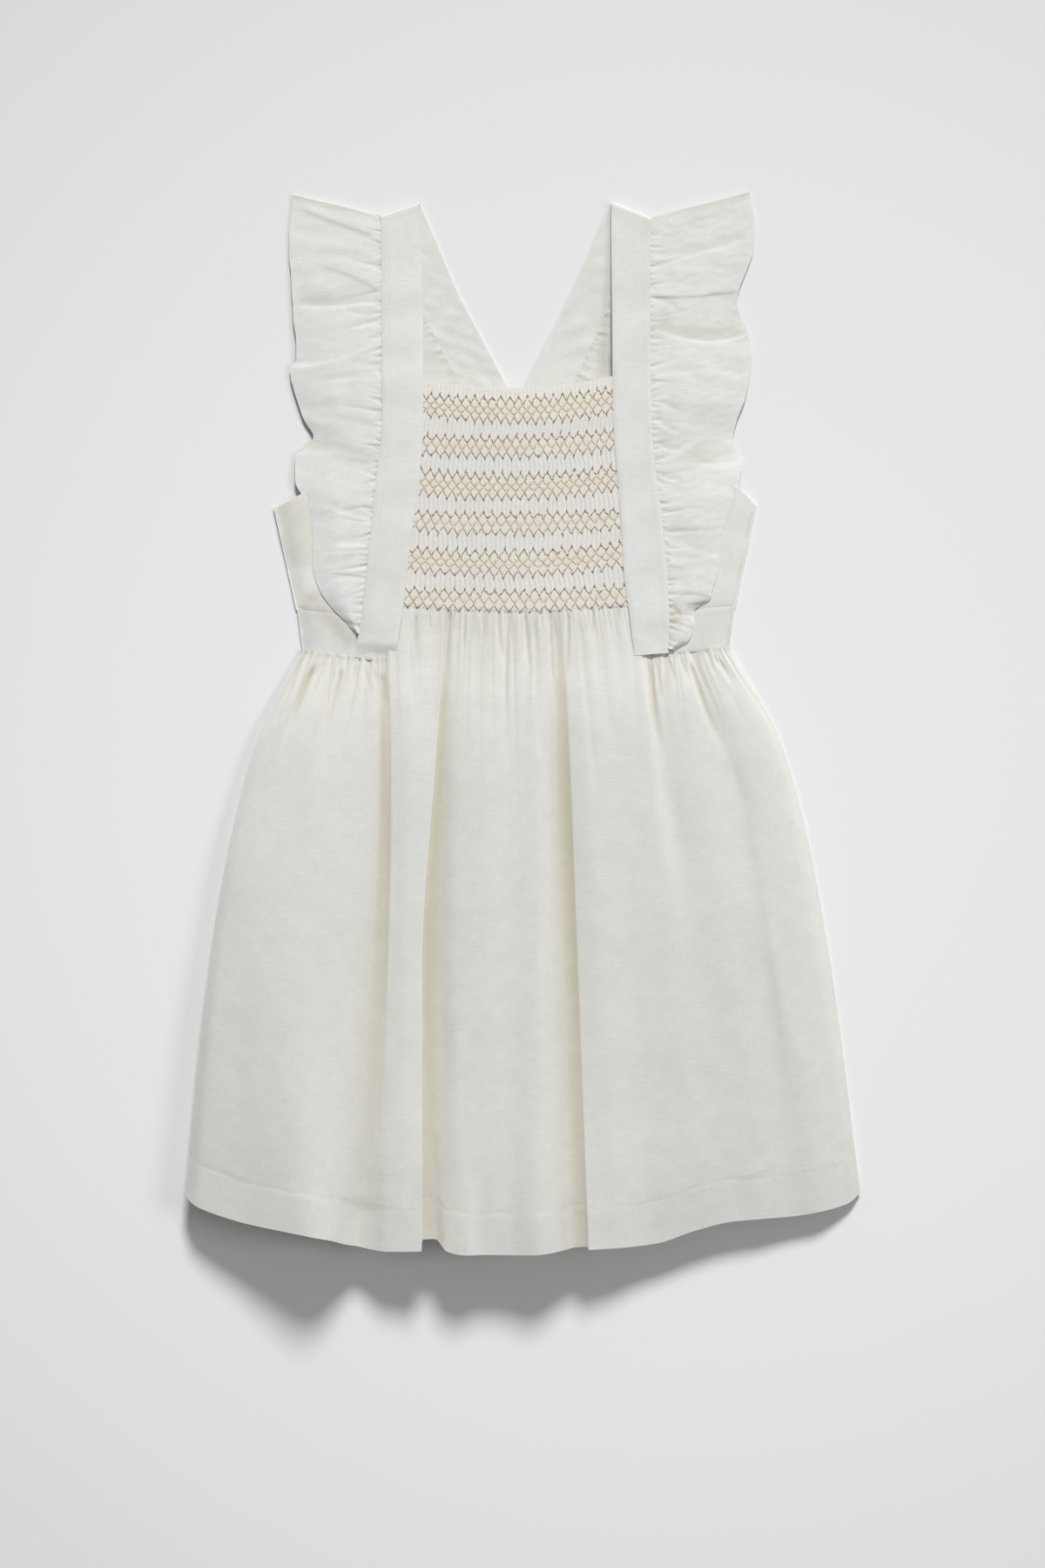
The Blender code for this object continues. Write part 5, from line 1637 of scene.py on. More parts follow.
@dataclass
class Skirt:
    """Front and back of the skirt, with the gathers below the smocking."""

    columns: int = 392
    rows: int = 98
    top_rows: int = 15
    back_columns: int = 260
    back_rows: int = 64
    wall: float = 0.8
    hem_depth: float = 21.0
    hem_share: float = 0.928
    hem_spread: float = 0.012
    waist_crowd: float = 2.2
    back_crowd: float = 1.5
    block_top: float = 59.2
    block_sag: float = 2.4
    tuck: float = 1.6
    tuck_drop: float = 0.1
    fold_share: float = 0.42
    calm_side: float = 25.0
    calm_reach: float = 26.0
    free_hem: tuple = (0.9, 0.72, 0.26)
    side_drop: float = 0.5
    side_width: float = 3.0
    bend: tuple = (34.0, 15.0, 11.0)
    beside_from: tuple = (-72.0, 63.0)
    beside_run: float = 6.0
    smocking_end: float = 57.6
    smocking_sag: float = 2.6
    bib_run: float = 0.04
    pleat_height: float = 0.5
    pleat_reach: float = 4.0
    gather_row: int = 8
    hem_lift: float = 0.12
    hem_groove: tuple = (0.14, 1.1)
    hem_wander: Ripple = Ripple(0.5, 17.0, 5, (1.0, 0.2))
    hem_puckers: tuple = (5.0, Ripple(0.05, 7.0, 6, (1.0, 0.7)))
    hem_ripple: Ripple = Ripple(0.025, 10.0, 7)
    ripples: tuple = (Ripple(0.22, 46.0, 3, (1.0, 0.6)), Ripple(0.06, 15.0, 4))
    ripple_from: float = 30.0
    # painted light and shade on the skirt front: darker down the skirt, on its left, low down, along
    # the waist seam and the hem's stitches; paler at the top; darker hem, lighter on the left
    left_part: tuple = (-60.0, 30.0)
    darker_down: float = 0.055
    darker_left: float = 0.03
    darker_low: tuple = (0.04, 0.8, 0.2)
    darker_seam: tuple = (0.06, 0.5, 0.9)
    darker_stitch: tuple = (0.025, 0.9)
    paler_top: tuple = (0.075, 45.0)
    hem_light_and_shade: tuple = (0.01, 0.025)
    back_gather_row: int = 6
    back_ripple: Ripple = Ripple(0.45, 30.0, 8, (1.0, 0.25))
    back_ripple_from: float = 20.0
    back_stitch: tuple = (0.3, 0.9)

    def front(self, bib: Bib) -> Sheet:
        """Skirt front with the short block between the waist and the smocking.

        Args:
            bib: the bib that it joins.

        Returns:
            The sheet.
        """
        down = crowded_rows(self.rows, self.waist_crowd, self.hem_share, self.hem_spread)
        points, across = skirt_grid(FRONT_FOLDS, down, self.columns, SEAM_GAP)
        ends = [number_of(FRONT_FOLDS, name) for name in (BIB_FROM, BIB_TO)]
        first, last = (int(end) for end in np.searchsorted(across, ends))
        x_waist, y_waist, z_waist = points[first : last + 1, 0].T[:, :, None]
        share = (x_waist - x_waist[0]) / (x_waist[-1] - x_waist[0])
        up = np.linspace(1.0, 0.0, self.top_rows + 1)[:-1]
        w, rise = np.meshgrid(share[:, 0], up, indexing="ij")
        top = self.block_top - self.block_sag * 4.0 * w * (1.0 - w)
        y = y_waist + (top - y_waist) * rise
        left, right, gathers = bib.sides(BIB_SIDES[0].y + (BIB_SIDES[1].y - BIB_SIDES[0].y) * rise)
        straight = left + (right - left) * w
        x = straight + (x_waist - straight) * (1.0 - rise) ** 2
        plain = bib.base_height(w)
        inner = smooth((0.5 - np.abs(w - 0.5)) / (2.0 * bib.flat_edge))
        z = plain + (z_waist - plain) * gathers * inner
        block = np.repeat(points[:, :1], self.top_rows, axis=1)
        tuck = smooth((np.arange(self.top_rows)[::-1] + 1.0) / 2.0)
        block[..., 1] += self.tuck * tuck
        block[..., 2] -= self.tuck_drop * tuck
        block[first : last + 1] = np.stack((x, y, z), axis=-1)
        grid = np.concatenate((block, points), axis=1)
        self.calm(grid, first, last)
        sheet = Sheet("skirt_front_cloth", grid, self.wall)
        for beside in (slice(None, first), slice(last, None)):
            sheet.keep[beside, : self.top_rows - 2] = False
        self.tint(sheet, across, np.concatenate((np.zeros(self.top_rows), down)))
        self.finish_front(sheet, bib, first, last)
        return sheet

    def calm(self, grid: np.ndarray, first: int, last: int) -> None:
        """Flatten the folds towards their trend, close the side seams and ease the bend at the waist.

        Args:
            grid: points of the skirt front, changed in place.
            first: first column under the bib.
            last: last column under the bib.
        """
        count = grid.shape[1]
        z = grid[..., 2]
        middle = grid[:, count // 2, 0]
        down = np.linspace(0.0, 1.0, count)[None]
        from_side = np.minimum(middle - middle[0], middle[-1] - middle)[:, None]
        most, hem_from, hem_run = self.free_hem
        calm = (1.0 - self.fold_share) * smooth(from_side / self.calm_side)
        calm = calm * (1.0 - most * smooth((down - hem_from) / hem_run))
        z += calm * (trend(z, middle, self.calm_reach) - z)
        z -= self.side_drop * bell(from_side, self.side_width)
        y = grid[(first + last) // 2, :, 1]
        place, width, reach = self.bend
        eased = trend(z[first : last + 1].T, y, reach).T
        z[first : last + 1] += bell(y - place, width) * (eased - z[first : last + 1])

    def tint(self, sheet: Sheet, across: np.ndarray, down: np.ndarray) -> None:
        """Paint warmer shade into the deep folds, by the shade table read at each column and share of
        the length.

        Args:
            sheet: the skirt front.
            across: fold number of each column.
            down: share of the length at each row.
        """
        table = np.zeros((len(FRONT_FOLDS), len(SKIRT_LEVELS)))
        for row in FOLD_SHADES:
            table[number_of(FRONT_FOLDS, row.name)] = row[1:]
        level = np.array([np.interp(down, SKIRT_LEVELS, line) for line in table])
        sheet.warm_tint_and_shade = np.clip(through(np.arange(len(table)), level, across), 0.0, 1.0)

    def finish_front(self, sheet: Sheet, bib: Bib, first: int, last: int) -> None:
        """Add gathers, creases, the hem and the soft unevenness of the cloth, and paint its light and
        shade.

        Args:
            sheet: the skirt front.
            bib: the bib above it.
            first: its first column under the bib.
            last: its last column under the bib.
        """
        x, y = sheet.plan()
        waist = x[:, self.top_rows]
        seam = seam_y(WAIST_SEAM, waist)[:, None]
        away = np.maximum(seam - y, 0.0)
        gather_line = sheet.points[:, self.top_rows + self.gather_row]
        along = np.repeat(arc(gather_line)[:, None], x.shape[1], axis=1)
        left, right = self.beside_from
        under = smooth((waist - left) / self.beside_run) * smooth((right - waist) / self.beside_run)
        beside = 1.0 - under[:, None]
        w = ((waist - waist[first]) / (waist[last] - waist[first]))[:, None]
        inside = smooth(w / self.bib_run) * smooth((1.0 - w) / self.bib_run)
        across = np.clip(w, 0.0, 1.0)
        end = self.smocking_end - self.smocking_sag * 4.0 * across * (1.0 - across)
        below = np.maximum(end - y, 0.0)
        for start, share, table in ((away, beside, WAIST_GATHERS), (below, inside, BIB_GATHERS)):
            for row in table:
                eased = smooth(start / row.ease) if row.ease else 1.0
                heights = row.factor * row.gathers.shape(along, start) * eased
                sheet.gather(heights * share, row.depth, row.tint)
        pleats = bib.ripple(w * bib.diamonds + bib.phase) - bib.mean_ripple
        sheet.lift(inside * pleats * self.pleat_height * np.exp(-below / self.pleat_reach))
        sheet.crease(WAIST_CREASES, 0.65, 1.4, 1.0, 0.4)
        sheet.crease(SKIRT_CREASES, 0.45, 1.0)
        depth = y - y[:, -1:]
        band = 1.0 - smooth(depth - self.hem_depth + 0.5)
        line = depth - self.hem_depth + self.hem_wander.shape(x, y)
        groove, groove_width = self.hem_groove
        pucker_width, puckers = self.hem_puckers
        sheet.lift(self.hem_lift * band - groove * bell(line, groove_width))
        sheet.lift(bell(depth - self.hem_depth, pucker_width) * puckers.shape(x, y))
        sheet.lift(band * self.hem_ripple.shape(x, y))
        sheet.lift(smooth(away / self.ripple_from) * sum(ripple.shape(x, y) for ripple in self.ripples))
        self.paint_front_shade(sheet, away, beside, band, line)
        sheet.lay_out(len(x) // 2, self.top_rows + self.rows // 2)

    def paint_front_shade(
        self, sheet: Sheet, away: np.ndarray, beside: np.ndarray, band: np.ndarray, line: np.ndarray
    ) -> None:
        """Paint light and shade on the front: paler under the waist, darker down to the hem, on the
        left, along its seams and the hem's stitches, and on the hem.

        Args:
            sheet: the skirt front.
            away: distance of each point from the waist.
            beside: 1 beside the bib, 0 under it.
            band: 1 on the hem, 0 above it.
            line: distance of each point from the hem's stitches.
        """
        x, y = sheet.plan()
        down = np.clip(away / (away + y - y[:, -1:]), 0.0, 1.0)
        left_x, left_run = self.left_part
        left = smooth((left_x - x) / left_run)
        low, low_from, low_run = self.darker_low
        seam, seam_place, seam_width = self.darker_seam
        stitch, stitch_width = self.darker_stitch
        pale, pale_run = self.paler_top
        hem, hem_left = self.hem_light_and_shade
        # painted shade down the skirt, on its left, along the seam and the stitches; painted light
        # under the waist and on the left of the hem
        sheet.tone = 1.0 - (self.darker_down + self.darker_left * left) * smooth(down)
        sheet.tone -= low * smooth((down - low_from) / low_run)
        sheet.tone -= seam * beside * bell(away - seam_place, seam_width)
        sheet.tone -= stitch * bell(line, stitch_width)
        sheet.tone += pale * (1.0 - smooth(away / pale_run))
        sheet.tone += (hem_left * left - hem) * band * (down > 0.5)

    def back(self) -> Sheet:
        """Skirt back, which lies on the surface.

        Returns:
            The sheet.
        """
        down = crowded_rows(self.back_rows, self.back_crowd, self.hem_share, self.hem_spread)
        points, _ = skirt_grid(BACK_FOLDS, down, self.back_columns, RUFFLE_GAP)
        sheet = Sheet("skirt_back_cloth", points, self.wall, looks_up=False)
        x, y = sheet.plan()
        away = np.maximum(seam_y(WAIST_SEAM, points[:, 0, 0])[:, None] - y, 0.0)
        along = np.repeat(arc(points[:, self.back_gather_row])[:, None], x.shape[1], axis=1)
        ripple = np.maximum(self.back_ripple.shape(x, y), 0.0) * smooth(away / self.back_ripple_from)
        stitch, stitch_width = self.back_stitch
        sheet.lift(ripple - BACK_TUCKS.shape(along, away))
        sheet.lift(stitch * bell(y - y[:, -1:] - self.hem_depth, stitch_width))
        sheet.lay_out(len(x) // 2, self.back_rows // 2)
        return sheet

    def build(self, bib: Bib, front: bpy.types.Material, back: bpy.types.Material) -> None:
        """Make the two panels.

        Args:
            bib: the bib that the front joins.
            front: finish of the front.
            back: finish of the back.
        """
        enter(self.front(bib).build(front), ("front_panel",))
        enter(self.back().build(back), ("skirt_back",))


# ---------------------------------------------------------------------------------------------
# Bodice and waistband
# ---------------------------------------------------------------------------------------------
UNEVEN_FROM = 60.0
UNEVEN_RUN = 8.0
# painted shadow under the lower edge of the left ruffle: how much darker and warmer it makes the cloth
UNDER_RUFFLE_SHADOW = 0.09
UNDER_RUFFLE_SHADOW_WARMTH = 0.4


@dataclass(frozen=True)
class FlatPiece:
    """A plain piece of the bodice or waistband between two lines."""

    name: str
    sections: tuple
    looks_up: bool
    slot: Slot
    cut: Cut
    gap: float = SEAM_GAP
    columns: int = 64
    rows: int = 40
    wall: float = 0.9
    tuck: float = 0.0
    side_drop: float = 2.2
    side_width: float = 6.0
    tuck_ease: tuple = (0.8, 1.4)

    def sheet(self) -> Sheet:
        """The piece's sheet: straight columns between its top and its lower edge.

        Returns:
            The sheet.
        """
        table = np.array(self.sections)
        knots = np.arange(len(table))
        where = np.linspace(0.0, knots[-1], self.columns)
        if isinstance(self.sections[0], BodiceSection):
            x_top, y_top, x_low, z = through(knots, table, where).T
            y_low = seam_y(BAND_SEAM, x_low) + self.gap
        else:
            x_top, x_low, z = through(knots, table, where).T
            y_top, y_low = seam_y(BAND_SEAM, x_top), seam_y(WAIST_SEAM, x_low)
        top = np.stack((x_top, y_top, z), axis=1)
        low = np.stack((x_low, y_low - self.tuck, z), axis=1)
        share = np.linspace(0.0, 1.0, self.rows)[None, :, None]
        points = top[:, None] + (low - top)[:, None] * share
        sheet = Sheet(self.name + "_cloth", points, self.wall, self.looks_up)
        if self.looks_up:
            x, y = sheet.plan()
            above, run = self.tuck_ease
            sheet.lift(-0.5 * self.tuck * smooth((self.tuck + above - y + y[:, -1:]) / run))
            edge = np.abs(x) - np.abs(x).max(axis=0, keepdims=True)
            sheet.lift(-self.side_drop * bell(edge, self.side_width))
            points[..., 2] = np.maximum(points[..., 2], self.wall)
        sheet.lay_out(self.columns // 2, self.rows // 2)
        return sheet


def under_ruffle(x: np.ndarray, y: np.ndarray) -> np.ndarray:
    """Shade under the lower edge of the left ruffle.

    It is a bell across the line from (-107.5, 65) to (-88, 42.5) mm, cut off softly past its ends.

    Args:
        x: x of the points, in mm.
        y: y of the points, in mm.

    Returns:
        The shade, 0 to 1, at each point.
    """
    right, up = x + 107.5, y - 65.0
    run_right, run_up = 0.66, -0.75
    offset, width, before, length, ease = 1.5, 4.5, 5.0, 35.0, 6.0
    across = up * run_right - right * run_up
    along = right * run_right + up * run_up
    ends = smooth((along + before) / ease) * smooth((length - along) / ease)
    return bell(across + offset, width) * ends


def side_left_folds(sheet: Sheet) -> None:
    """Turn the upper part of the left side piece up towards the armhole, with a soft crease below, and
    paint light and shade on it.

    Args:
        sheet: the piece, changed in place.
    """
    x, y = sheet.plan()
    outer_x, outer_run = -104.0, 10.0
    upper_y, upper_run = 78.5, 2.0
    turn_y, slope = 79.0, 0.01
    outer = smooth((outer_x - x) / outer_run)
    upper = smooth((y - upper_y) / upper_run)
    sheet.lift(outer * slope * np.maximum(y - turn_y, 0.0) * upper)
    sheet.lift(Ripple(0.12, 24.0, 21).shape(x, y) * smooth((y - UNEVEN_FROM) / UNEVEN_RUN))
    shade = under_ruffle(x, y)
    # painted light overall, painted shade on the upper part and a painted shadow under the ruffle
    sheet.tone = 1.14 - 0.02 * upper - UNDER_RUFFLE_SHADOW * shade
    sheet.warm_tint_and_shade = 0.3 * upper + UNDER_RUFFLE_SHADOW_WARMTH * shade


def side_right_folds(sheet: Sheet) -> None:
    """Soft unevenness on the right side piece, which is painted lighter.

    Args:
        sheet: the piece, changed in place.
    """
    x, y = sheet.plan()
    sheet.lift(Ripple(0.12, 24.0, 22).shape(x, y) * smooth((y - UNEVEN_FROM) / UNEVEN_RUN))
    # painted light
    sheet.tone *= 1.08


def band_folds(sheet: Sheet) -> None:
    """Rounded seam edges and slight puckers on a waistband, with painted shade along the seams and
    under the ruffle, and painted light.

    Args:
        sheet: the piece, changed in place.
    """
    x, y = sheet.plan()
    seam_width, seam_drop, seam_shade, left_light = 0.7, 0.25, 0.05, 0.025
    seams = bell(y[:, :1] - y, seam_width) + bell(y - y[:, -1:], seam_width)
    shade = under_ruffle(x, y)
    sheet.lift(Ripple(0.05, 7.0, 23, (1.0, 0.3)).shape(x, y) - seam_drop * seams)
    # painted light overall and on the left band; painted shade along the seams and a painted shadow
    # under the ruffle
    sheet.tone = 1.03 + left_light * (x < 0.0) - seam_shade * seams - UNDER_RUFFLE_SHADOW * shade
    sheet.warm_tint_and_shade = UNDER_RUFFLE_SHADOW_WARMTH * shade


def plain_folds(sheet: Sheet) -> None:
    """Slight lift off the surface on a back piece."""
    sheet.lift(np.maximum(Ripple(0.12, 30.0, 24).shape(*sheet.plan()), 0.0))


def bodice_pieces() -> tuple:
    """The plain pieces of the bodice and the waistband.

    Returns:
        Each piece, with the function that shapes it.
    """
    side = Cut(0.055, 0.075, Held.LAID, None, ("back_bodice_cloth",))
    band = Cut(0.040, 0.0225, Held.LAID, None, ("waistband_back_cloth",))
    bodice = Cut(0.245, 0.06, Held.LAID)
    waist = Cut(0.224, 0.0225, Held.LAID)
    front, back = Slot.FRONT, Slot.BACK
    return (
        (FlatPiece("side_left", SIDE_LEFT, True, front, side, tuck=1.4), side_left_folds),
        (FlatPiece("side_right", SIDE_RIGHT, True, front, side, tuck=1.4), side_right_folds),
        (FlatPiece("waistband_left", BAND_LEFT, True, front, band), band_folds),
        (FlatPiece("waistband_right", BAND_RIGHT, True, front, band), band_folds),
        (FlatPiece("back_bodice", BACK_BODICE, False, back, bodice, RUFFLE_GAP, 140, 36), plain_folds),
        (FlatPiece("waistband_back", BAND_BACK, False, back, waist, SEAM_GAP, 120, 16), plain_folds),
    )


# ---------------------------------------------------------------------------------------------
# Straps and ruffles
# ---------------------------------------------------------------------------------------------
@dataclass
class Strap:
    """One strap, folded double, and the ruffle in its outer seam."""

    side: str
    sections: tuple
    front: tuple
    crest: RuffleFold
    back: tuple
    creases: tuple
    shades: tuple
    seed: int
    columns: int = 26
    rows: int = 330
    wall: float = 0.7
    sink: float = 0.9
    edge_drop: float = 0.4
    edge_widths: tuple = (1.3, 1.1)
    stitch_lines: tuple = (1.9, 3.9)
    stitch_depth: float = 0.06
    stitch_width: float = 0.5
    fold_ease: float = 1.5
    end_z: float = 6.5
    end_press: float = 0.9
    end_reach: tuple = (9.0, 8.0)
    upper_back: tuple = (140.0, 30.0)
    upper_z: float = 0.8
    pressed: tuple = (168.0, 94.0)
    shoulder_press: float = 0.66
    edge_press: float = 0.5
    # painted shade on the fold at the shoulder and on the upper front; a darker, warmer middle on the
    # left strap
    shoulder_shade: tuple = (0.1, 1.2)
    upper_shade: tuple = (217.0, 30.0)
    darker_middle: tuple = (72.0, 28.0)
    seam_steps: int = 8
    seam_tuck: float = 0.9
    seam_rise: float = 0.7
    seam_drop: float = 1.3
    ruffle_columns: int = 40
    ruffle_front_rows: int = 470
    ruffle_back_rows: int = 130
    ruffle_wall: float = 0.5
    fold_share: float = 0.04
    trend_reach: float = 26.0
    middle_z: float = 6.9
    middle_share: float = 0.4
    edge_z: float = 6.25
    edge_share: float = 0.06
    usual_z: float = 8.0
    side_slope: float = 0.055
    free_from: tuple = (108.0, 34.0)
    free_edge: float = 1.9
    free_sag: float = 1.8
    high_from: tuple = (174.0, 36.0)
    high_edge: float = 2.0
    edge_roll: float = 0.15
    back_share: float = 0.5
    crease_share: float = 0.32
    cross_share: float = 0.5
    ruffle_ease: float = 8.0

    @property
    def lean(self) -> float:
        """Which way the strap crosses the back: 1 to the right, -1 to the left."""
        return 1.0 if self.side == "left" else -1.0

    def ripple(self, height: float, length: float, offset: int, squash: tuple = (1.0, 1.0)) -> Ripple:
        """Unevenness drawn from the strap's own seed plus an offset."""
        return Ripple(height, length, self.seed + offset, squash)

    def edges(self, where: np.ndarray) -> np.ndarray:
        """Inner and outer edge at each place along the sections, as [place, inner or outer, xyz]."""
        table = np.array([section[1:] for section in self.sections])
        return through(np.arange(len(table)), table, where).reshape(-1, 2, 3)

    def press(self, y: np.ndarray) -> np.ndarray:
        """Share of its height that the strap keeps as it flattens towards the fold at the shoulder."""
        return 1.0 - self.shoulder_press * smooth((y - self.pressed[0]) / self.pressed[1])

    def strap_sheet(self) -> Sheet:
        """The strap's sheet: cosine-spaced columns, a rounded edge at each side and topstitch grooves,
        with painted shade.

        Returns:
            The sheet.
        """
        knots = np.arange(len(self.sections))
        where = even_parameters([self.edges(knots).mean(axis=1)], (1.0,), self.rows)
        inner, outer = self.edges(where).transpose(1, 0, 2)
        share = 0.5 - 0.5 * np.cos(np.linspace(0.0, math.pi, self.columns))[:, None]
        points = inner + (outer - inner) * share[..., None]
        sheet = Sheet("strap_" + self.side + "_cloth", points, self.wall)
        x, y = sheet.plan()
        width = np.linalg.norm(outer - inner, axis=1)
        from_inner, from_outer = share * width, (1.0 - share) * width
        front = smooth((number_of(self.sections, "fold_upper") - where) / self.fold_ease)
        back = smooth((where - number_of(self.sections, "fold_lower")) / self.fold_ease)
        edge = bell(from_inner, self.edge_widths[0]) + bell(from_outer, self.edge_widths[1])
        grooves = sum(bell(from_outer - line, self.stitch_width) for line in self.stitch_lines)
        reach, run = self.end_reach
        end = self.end_press * smooth((y[:, :1] + reach - y) / run)
        sheet.lift(-front * (self.edge_drop * edge + self.stitch_depth * grooves))
        sheet.lift(-front * end * np.maximum(points[..., 2] - self.end_z, 0.0))
        sheet.lift(front * (self.ripple(0.09, 22.0, 0, (0.8, 1.0)).shape(x, y) - self.sink))
        skew_x, skew_y = 0.45 * x - 0.3 * y * self.lean, 0.9 * y + 0.45 * x * self.lean
        sheet.lift(back * np.maximum(self.ripple(0.28, 9.0, 4).shape(skew_x, skew_y) + 0.084, 0.0))
        points[..., 2] *= self.press(y)
        upper = back * smooth((y - self.upper_back[0]) / self.upper_back[1])
        sheet.lift(-self.cross_share * upper * np.maximum(points[..., 2] - self.upper_z, 0.0))
        # painted shade in the grooves, at the outer edge, on the fold at the shoulder and on the upper
        # front; the middle of the left strap darker; the rest random unevenness
        dark, fold_width = self.shoulder_shade
        darker_middle = 0.5 * (1.0 + self.lean) * front * bell(y - self.darker_middle[0], self.darker_middle[1])
        sheet.tone -= front * (0.035 * grooves + 0.03 * bell(from_outer, 0.8))
        sheet.tone += front * self.ripple(0.016, 24.0, 9, (0.5, 1.0)).shape(x, y) - 0.018 * darker_middle
        sheet.tone -= dark * bell(where - number_of(self.sections, FOLD_CREST), fold_width)
        sheet.tone -= 0.045 * front * bell(y - self.upper_shade[0], self.upper_shade[1])
        # painted warmer shade on the back, at the inner edge, and warmer about the middle of the left
        # strap
        sheet.warm_tint_and_shade = 0.1 * (back + darker_middle) + 0.15 * front * bell(from_inner, 0.6)
        sheet.lay_out(self.columns // 2, self.rows // 2)
        return sheet

    def ruffle_lines(self) -> tuple:
        """Fold lines of the ruffle from the strap's seam to the free edge.

        Returns:
            Their start, middle and end points, and how many of them are on the front.
        """
        last = len(self.sections) - 1
        dense = self.edges(np.linspace(0.0, last, last * self.seam_steps + 1))
        inner, outer = dense.transpose(1, 0, 2)
        away = (outer - inner) * np.array((1.0, 1.0, 0.0))
        away /= np.linalg.norm(away, axis=1)[:, None]
        seam = outer - away * self.seam_tuck
        top_side = smooth((outer[:, 2] - 2.0) / 4.0)
        seam[:, 2] += self.seam_rise - (self.seam_rise + self.seam_drop) * top_side
        top = number_of(self.sections, FOLD_CREST) * self.seam_steps
        spans = (slice(None, top + 1), slice(top, top + 1), slice(top, None))
        lines = []
        for folds, span in zip((self.front, (self.crest,), self.back), spans):
            level = seam[span][np.argsort(seam[span, 1])]
            for fold in folds:
                start = np.array([np.interp(fold.y_seam, level[:, 1], level[:, k]) for k in range(3)])
                edge = np.array((fold.x_edge, fold.y_edge, fold.z_edge))
                middle = 0.5 * (start + edge)
                middle[2] = fold.z_mid
                lines.append((start, middle, edge))
        return np.array(lines), len(self.front)

    def settle(self, swept: np.ndarray, kept: np.ndarray) -> None:
        """Lay the front of the ruffle down, so that a small share of its folds' heights is left.

        Its middle sinks to a share of its trend. Its free edge slopes down with its distance from
        the seam, and above the armhole it lies at free_edge, or higher up at high_edge.

        Args:
            swept: points [row, seam or middle or edge, xyz] of the front, changed in place.
            kept: share of its own height that each row keeps because it is near the shoulder.
        """
        run = arc(swept[:, 1])
        share = self.fold_share + (1.0 - self.fold_share) * kept
        for place in (1, 2):
            x, y, z = swept[:, place].T
            level = trend(z, run, self.trend_reach)
            free = smooth((y - self.free_from[0]) / self.free_from[1])
            if place == 1:
                rest = self.middle_z + (level - self.middle_z) * self.middle_share
                rest -= self.free_sag * free
            else:
                high = smooth((y - self.high_from[0]) / self.high_from[1])
                rest = self.edge_z - self.side_slope * (np.abs(x) - np.abs(swept[:, 0, 0]))
                rest += (self.free_edge + (self.high_edge - self.free_edge) * high - rest) * free
                rest += (level - self.usual_z) * self.edge_share
            swept[:, place, 2] = rest + (level - rest) * kept + share * (z - level)

    def ruffle_sheet(self) -> Sheet:
        """The ruffle's sheet, with its creases, its short gathers at the seam, a rolled edge and
        painted shade.

        Returns:
            The sheet.
        """
        lines, count = self.ruffle_lines()
        even = even_parameters([lines[:, 1]], (1.0,), FINE_STEPS)
        rows_of = ((even <= count, self.ruffle_front_rows), (even > count, self.ruffle_back_rows))
        parts = [(even[chosen], number) for chosen, number in rows_of]
        take = np.concatenate([part[np.linspace(0, len(part) - 1, n).astype(int)] for part, n in parts])
        swept = through(np.arange(len(lines)), lines, take)
        front = int(np.count_nonzero(take <= count))
        self.settle(swept[:front], np.clip(take[:front] - (count - 1.0), 0.0, 1.0) ** 6)
        press = self.press(swept[..., 1])
        swept[front:, :, 2] *= self.back_share
        swept[:, :2, 2] *= press[:, :2]
        swept[:, 2, 2] *= 1.0 - (1.0 - press[:, 2]) * self.edge_press / self.shoulder_press
        out = np.linspace(0.0, 1.0, self.ruffle_columns)
        points = through(np.array((0.0, 0.5, 1.0)), swept.transpose(1, 0, 2), out)
        sheet = Sheet("ruffle_" + self.side + "_cloth", points, self.ruffle_wall)
        on_front = smooth((count - take) / self.fold_ease)
        sheet.crease(self.creases, self.crease_share, 1.0, on_front)
        away = arc(points)
        sheet.lift(-on_front * self.edge_roll * bell(away[-1:] - away, 2.0))
        along = np.repeat(arc(swept[:, 0])[None], self.ruffle_columns, axis=0)
        fine = Gathers(3.0, 0.6, 5.0, 0.7, 0.4, self.seed).shape(along, away)
        long = Gathers(8.0, 0.45, 17.0, 1.0, 0.3, self.seed + 50).shape(along, away)
        sheet.gather(on_front * fine, 0.4, 0.5)
        sheet.gather(on_front * long, 0.36, 0.3)
        sheet.lift((on_front - 1.0) * (fine + long) * 0.8)
        # painted warmer shade on the back of the ruffle, most in its tucks
        sheet.warm_tint_and_shade = np.maximum(sheet.warm_tint_and_shade, (1.0 - on_front) * (0.2 - 0.6 * fine))
        x, y = sheet.plan()
        crumple = self.ripple(0.07, 11.0, 2, (0.45, 1.0)).shape(x, y)
        crumple += self.ripple(0.04, 5.0, 3, (0.6, 1.0)).shape(x, y)
        sheet.lift(on_front * crumple * smooth(away / self.ruffle_ease))
        # painted shade on the fold at the shoulder, on the upper front and in the listed shades
        upper = bell(y - self.upper_shade[0], self.upper_shade[1])
        sheet.tone -= 0.1 * bell(take - count, 0.5) + 0.035 * on_front * upper
        for shade in self.shades:
            share = on_front * shade.share(x, y)
            sheet.tone -= shade.dark * share
            sheet.warm_tint_and_shade += shade.warm_tint_and_shade * share
        sheet.lay_out(self.ruffle_columns // 2, take.size // 2)
        return sheet

    def build(self, tape: bpy.types.Material, trim: bpy.types.Material) -> None:
        """Make the strap and its ruffle.

        Args:
            tape: finish of the strap.
            trim: finish of the ruffle.
        """
        strap = self.strap_sheet().build(tape)
        cut = Cut(0.0215, 0.42, Held.FOLDED, None, ("smocked_bib", "back_bodice_cloth"))
        enter(strap, ("strap_" + self.side,))
        ruffle = self.ruffle_sheet().build(trim)
        cut = Cut(0.044, 0.52, Held.GATHERED, 0.0185, ("side_" + self.side + "_cloth",))
        enter(ruffle, ("ruffle_" + self.side,))


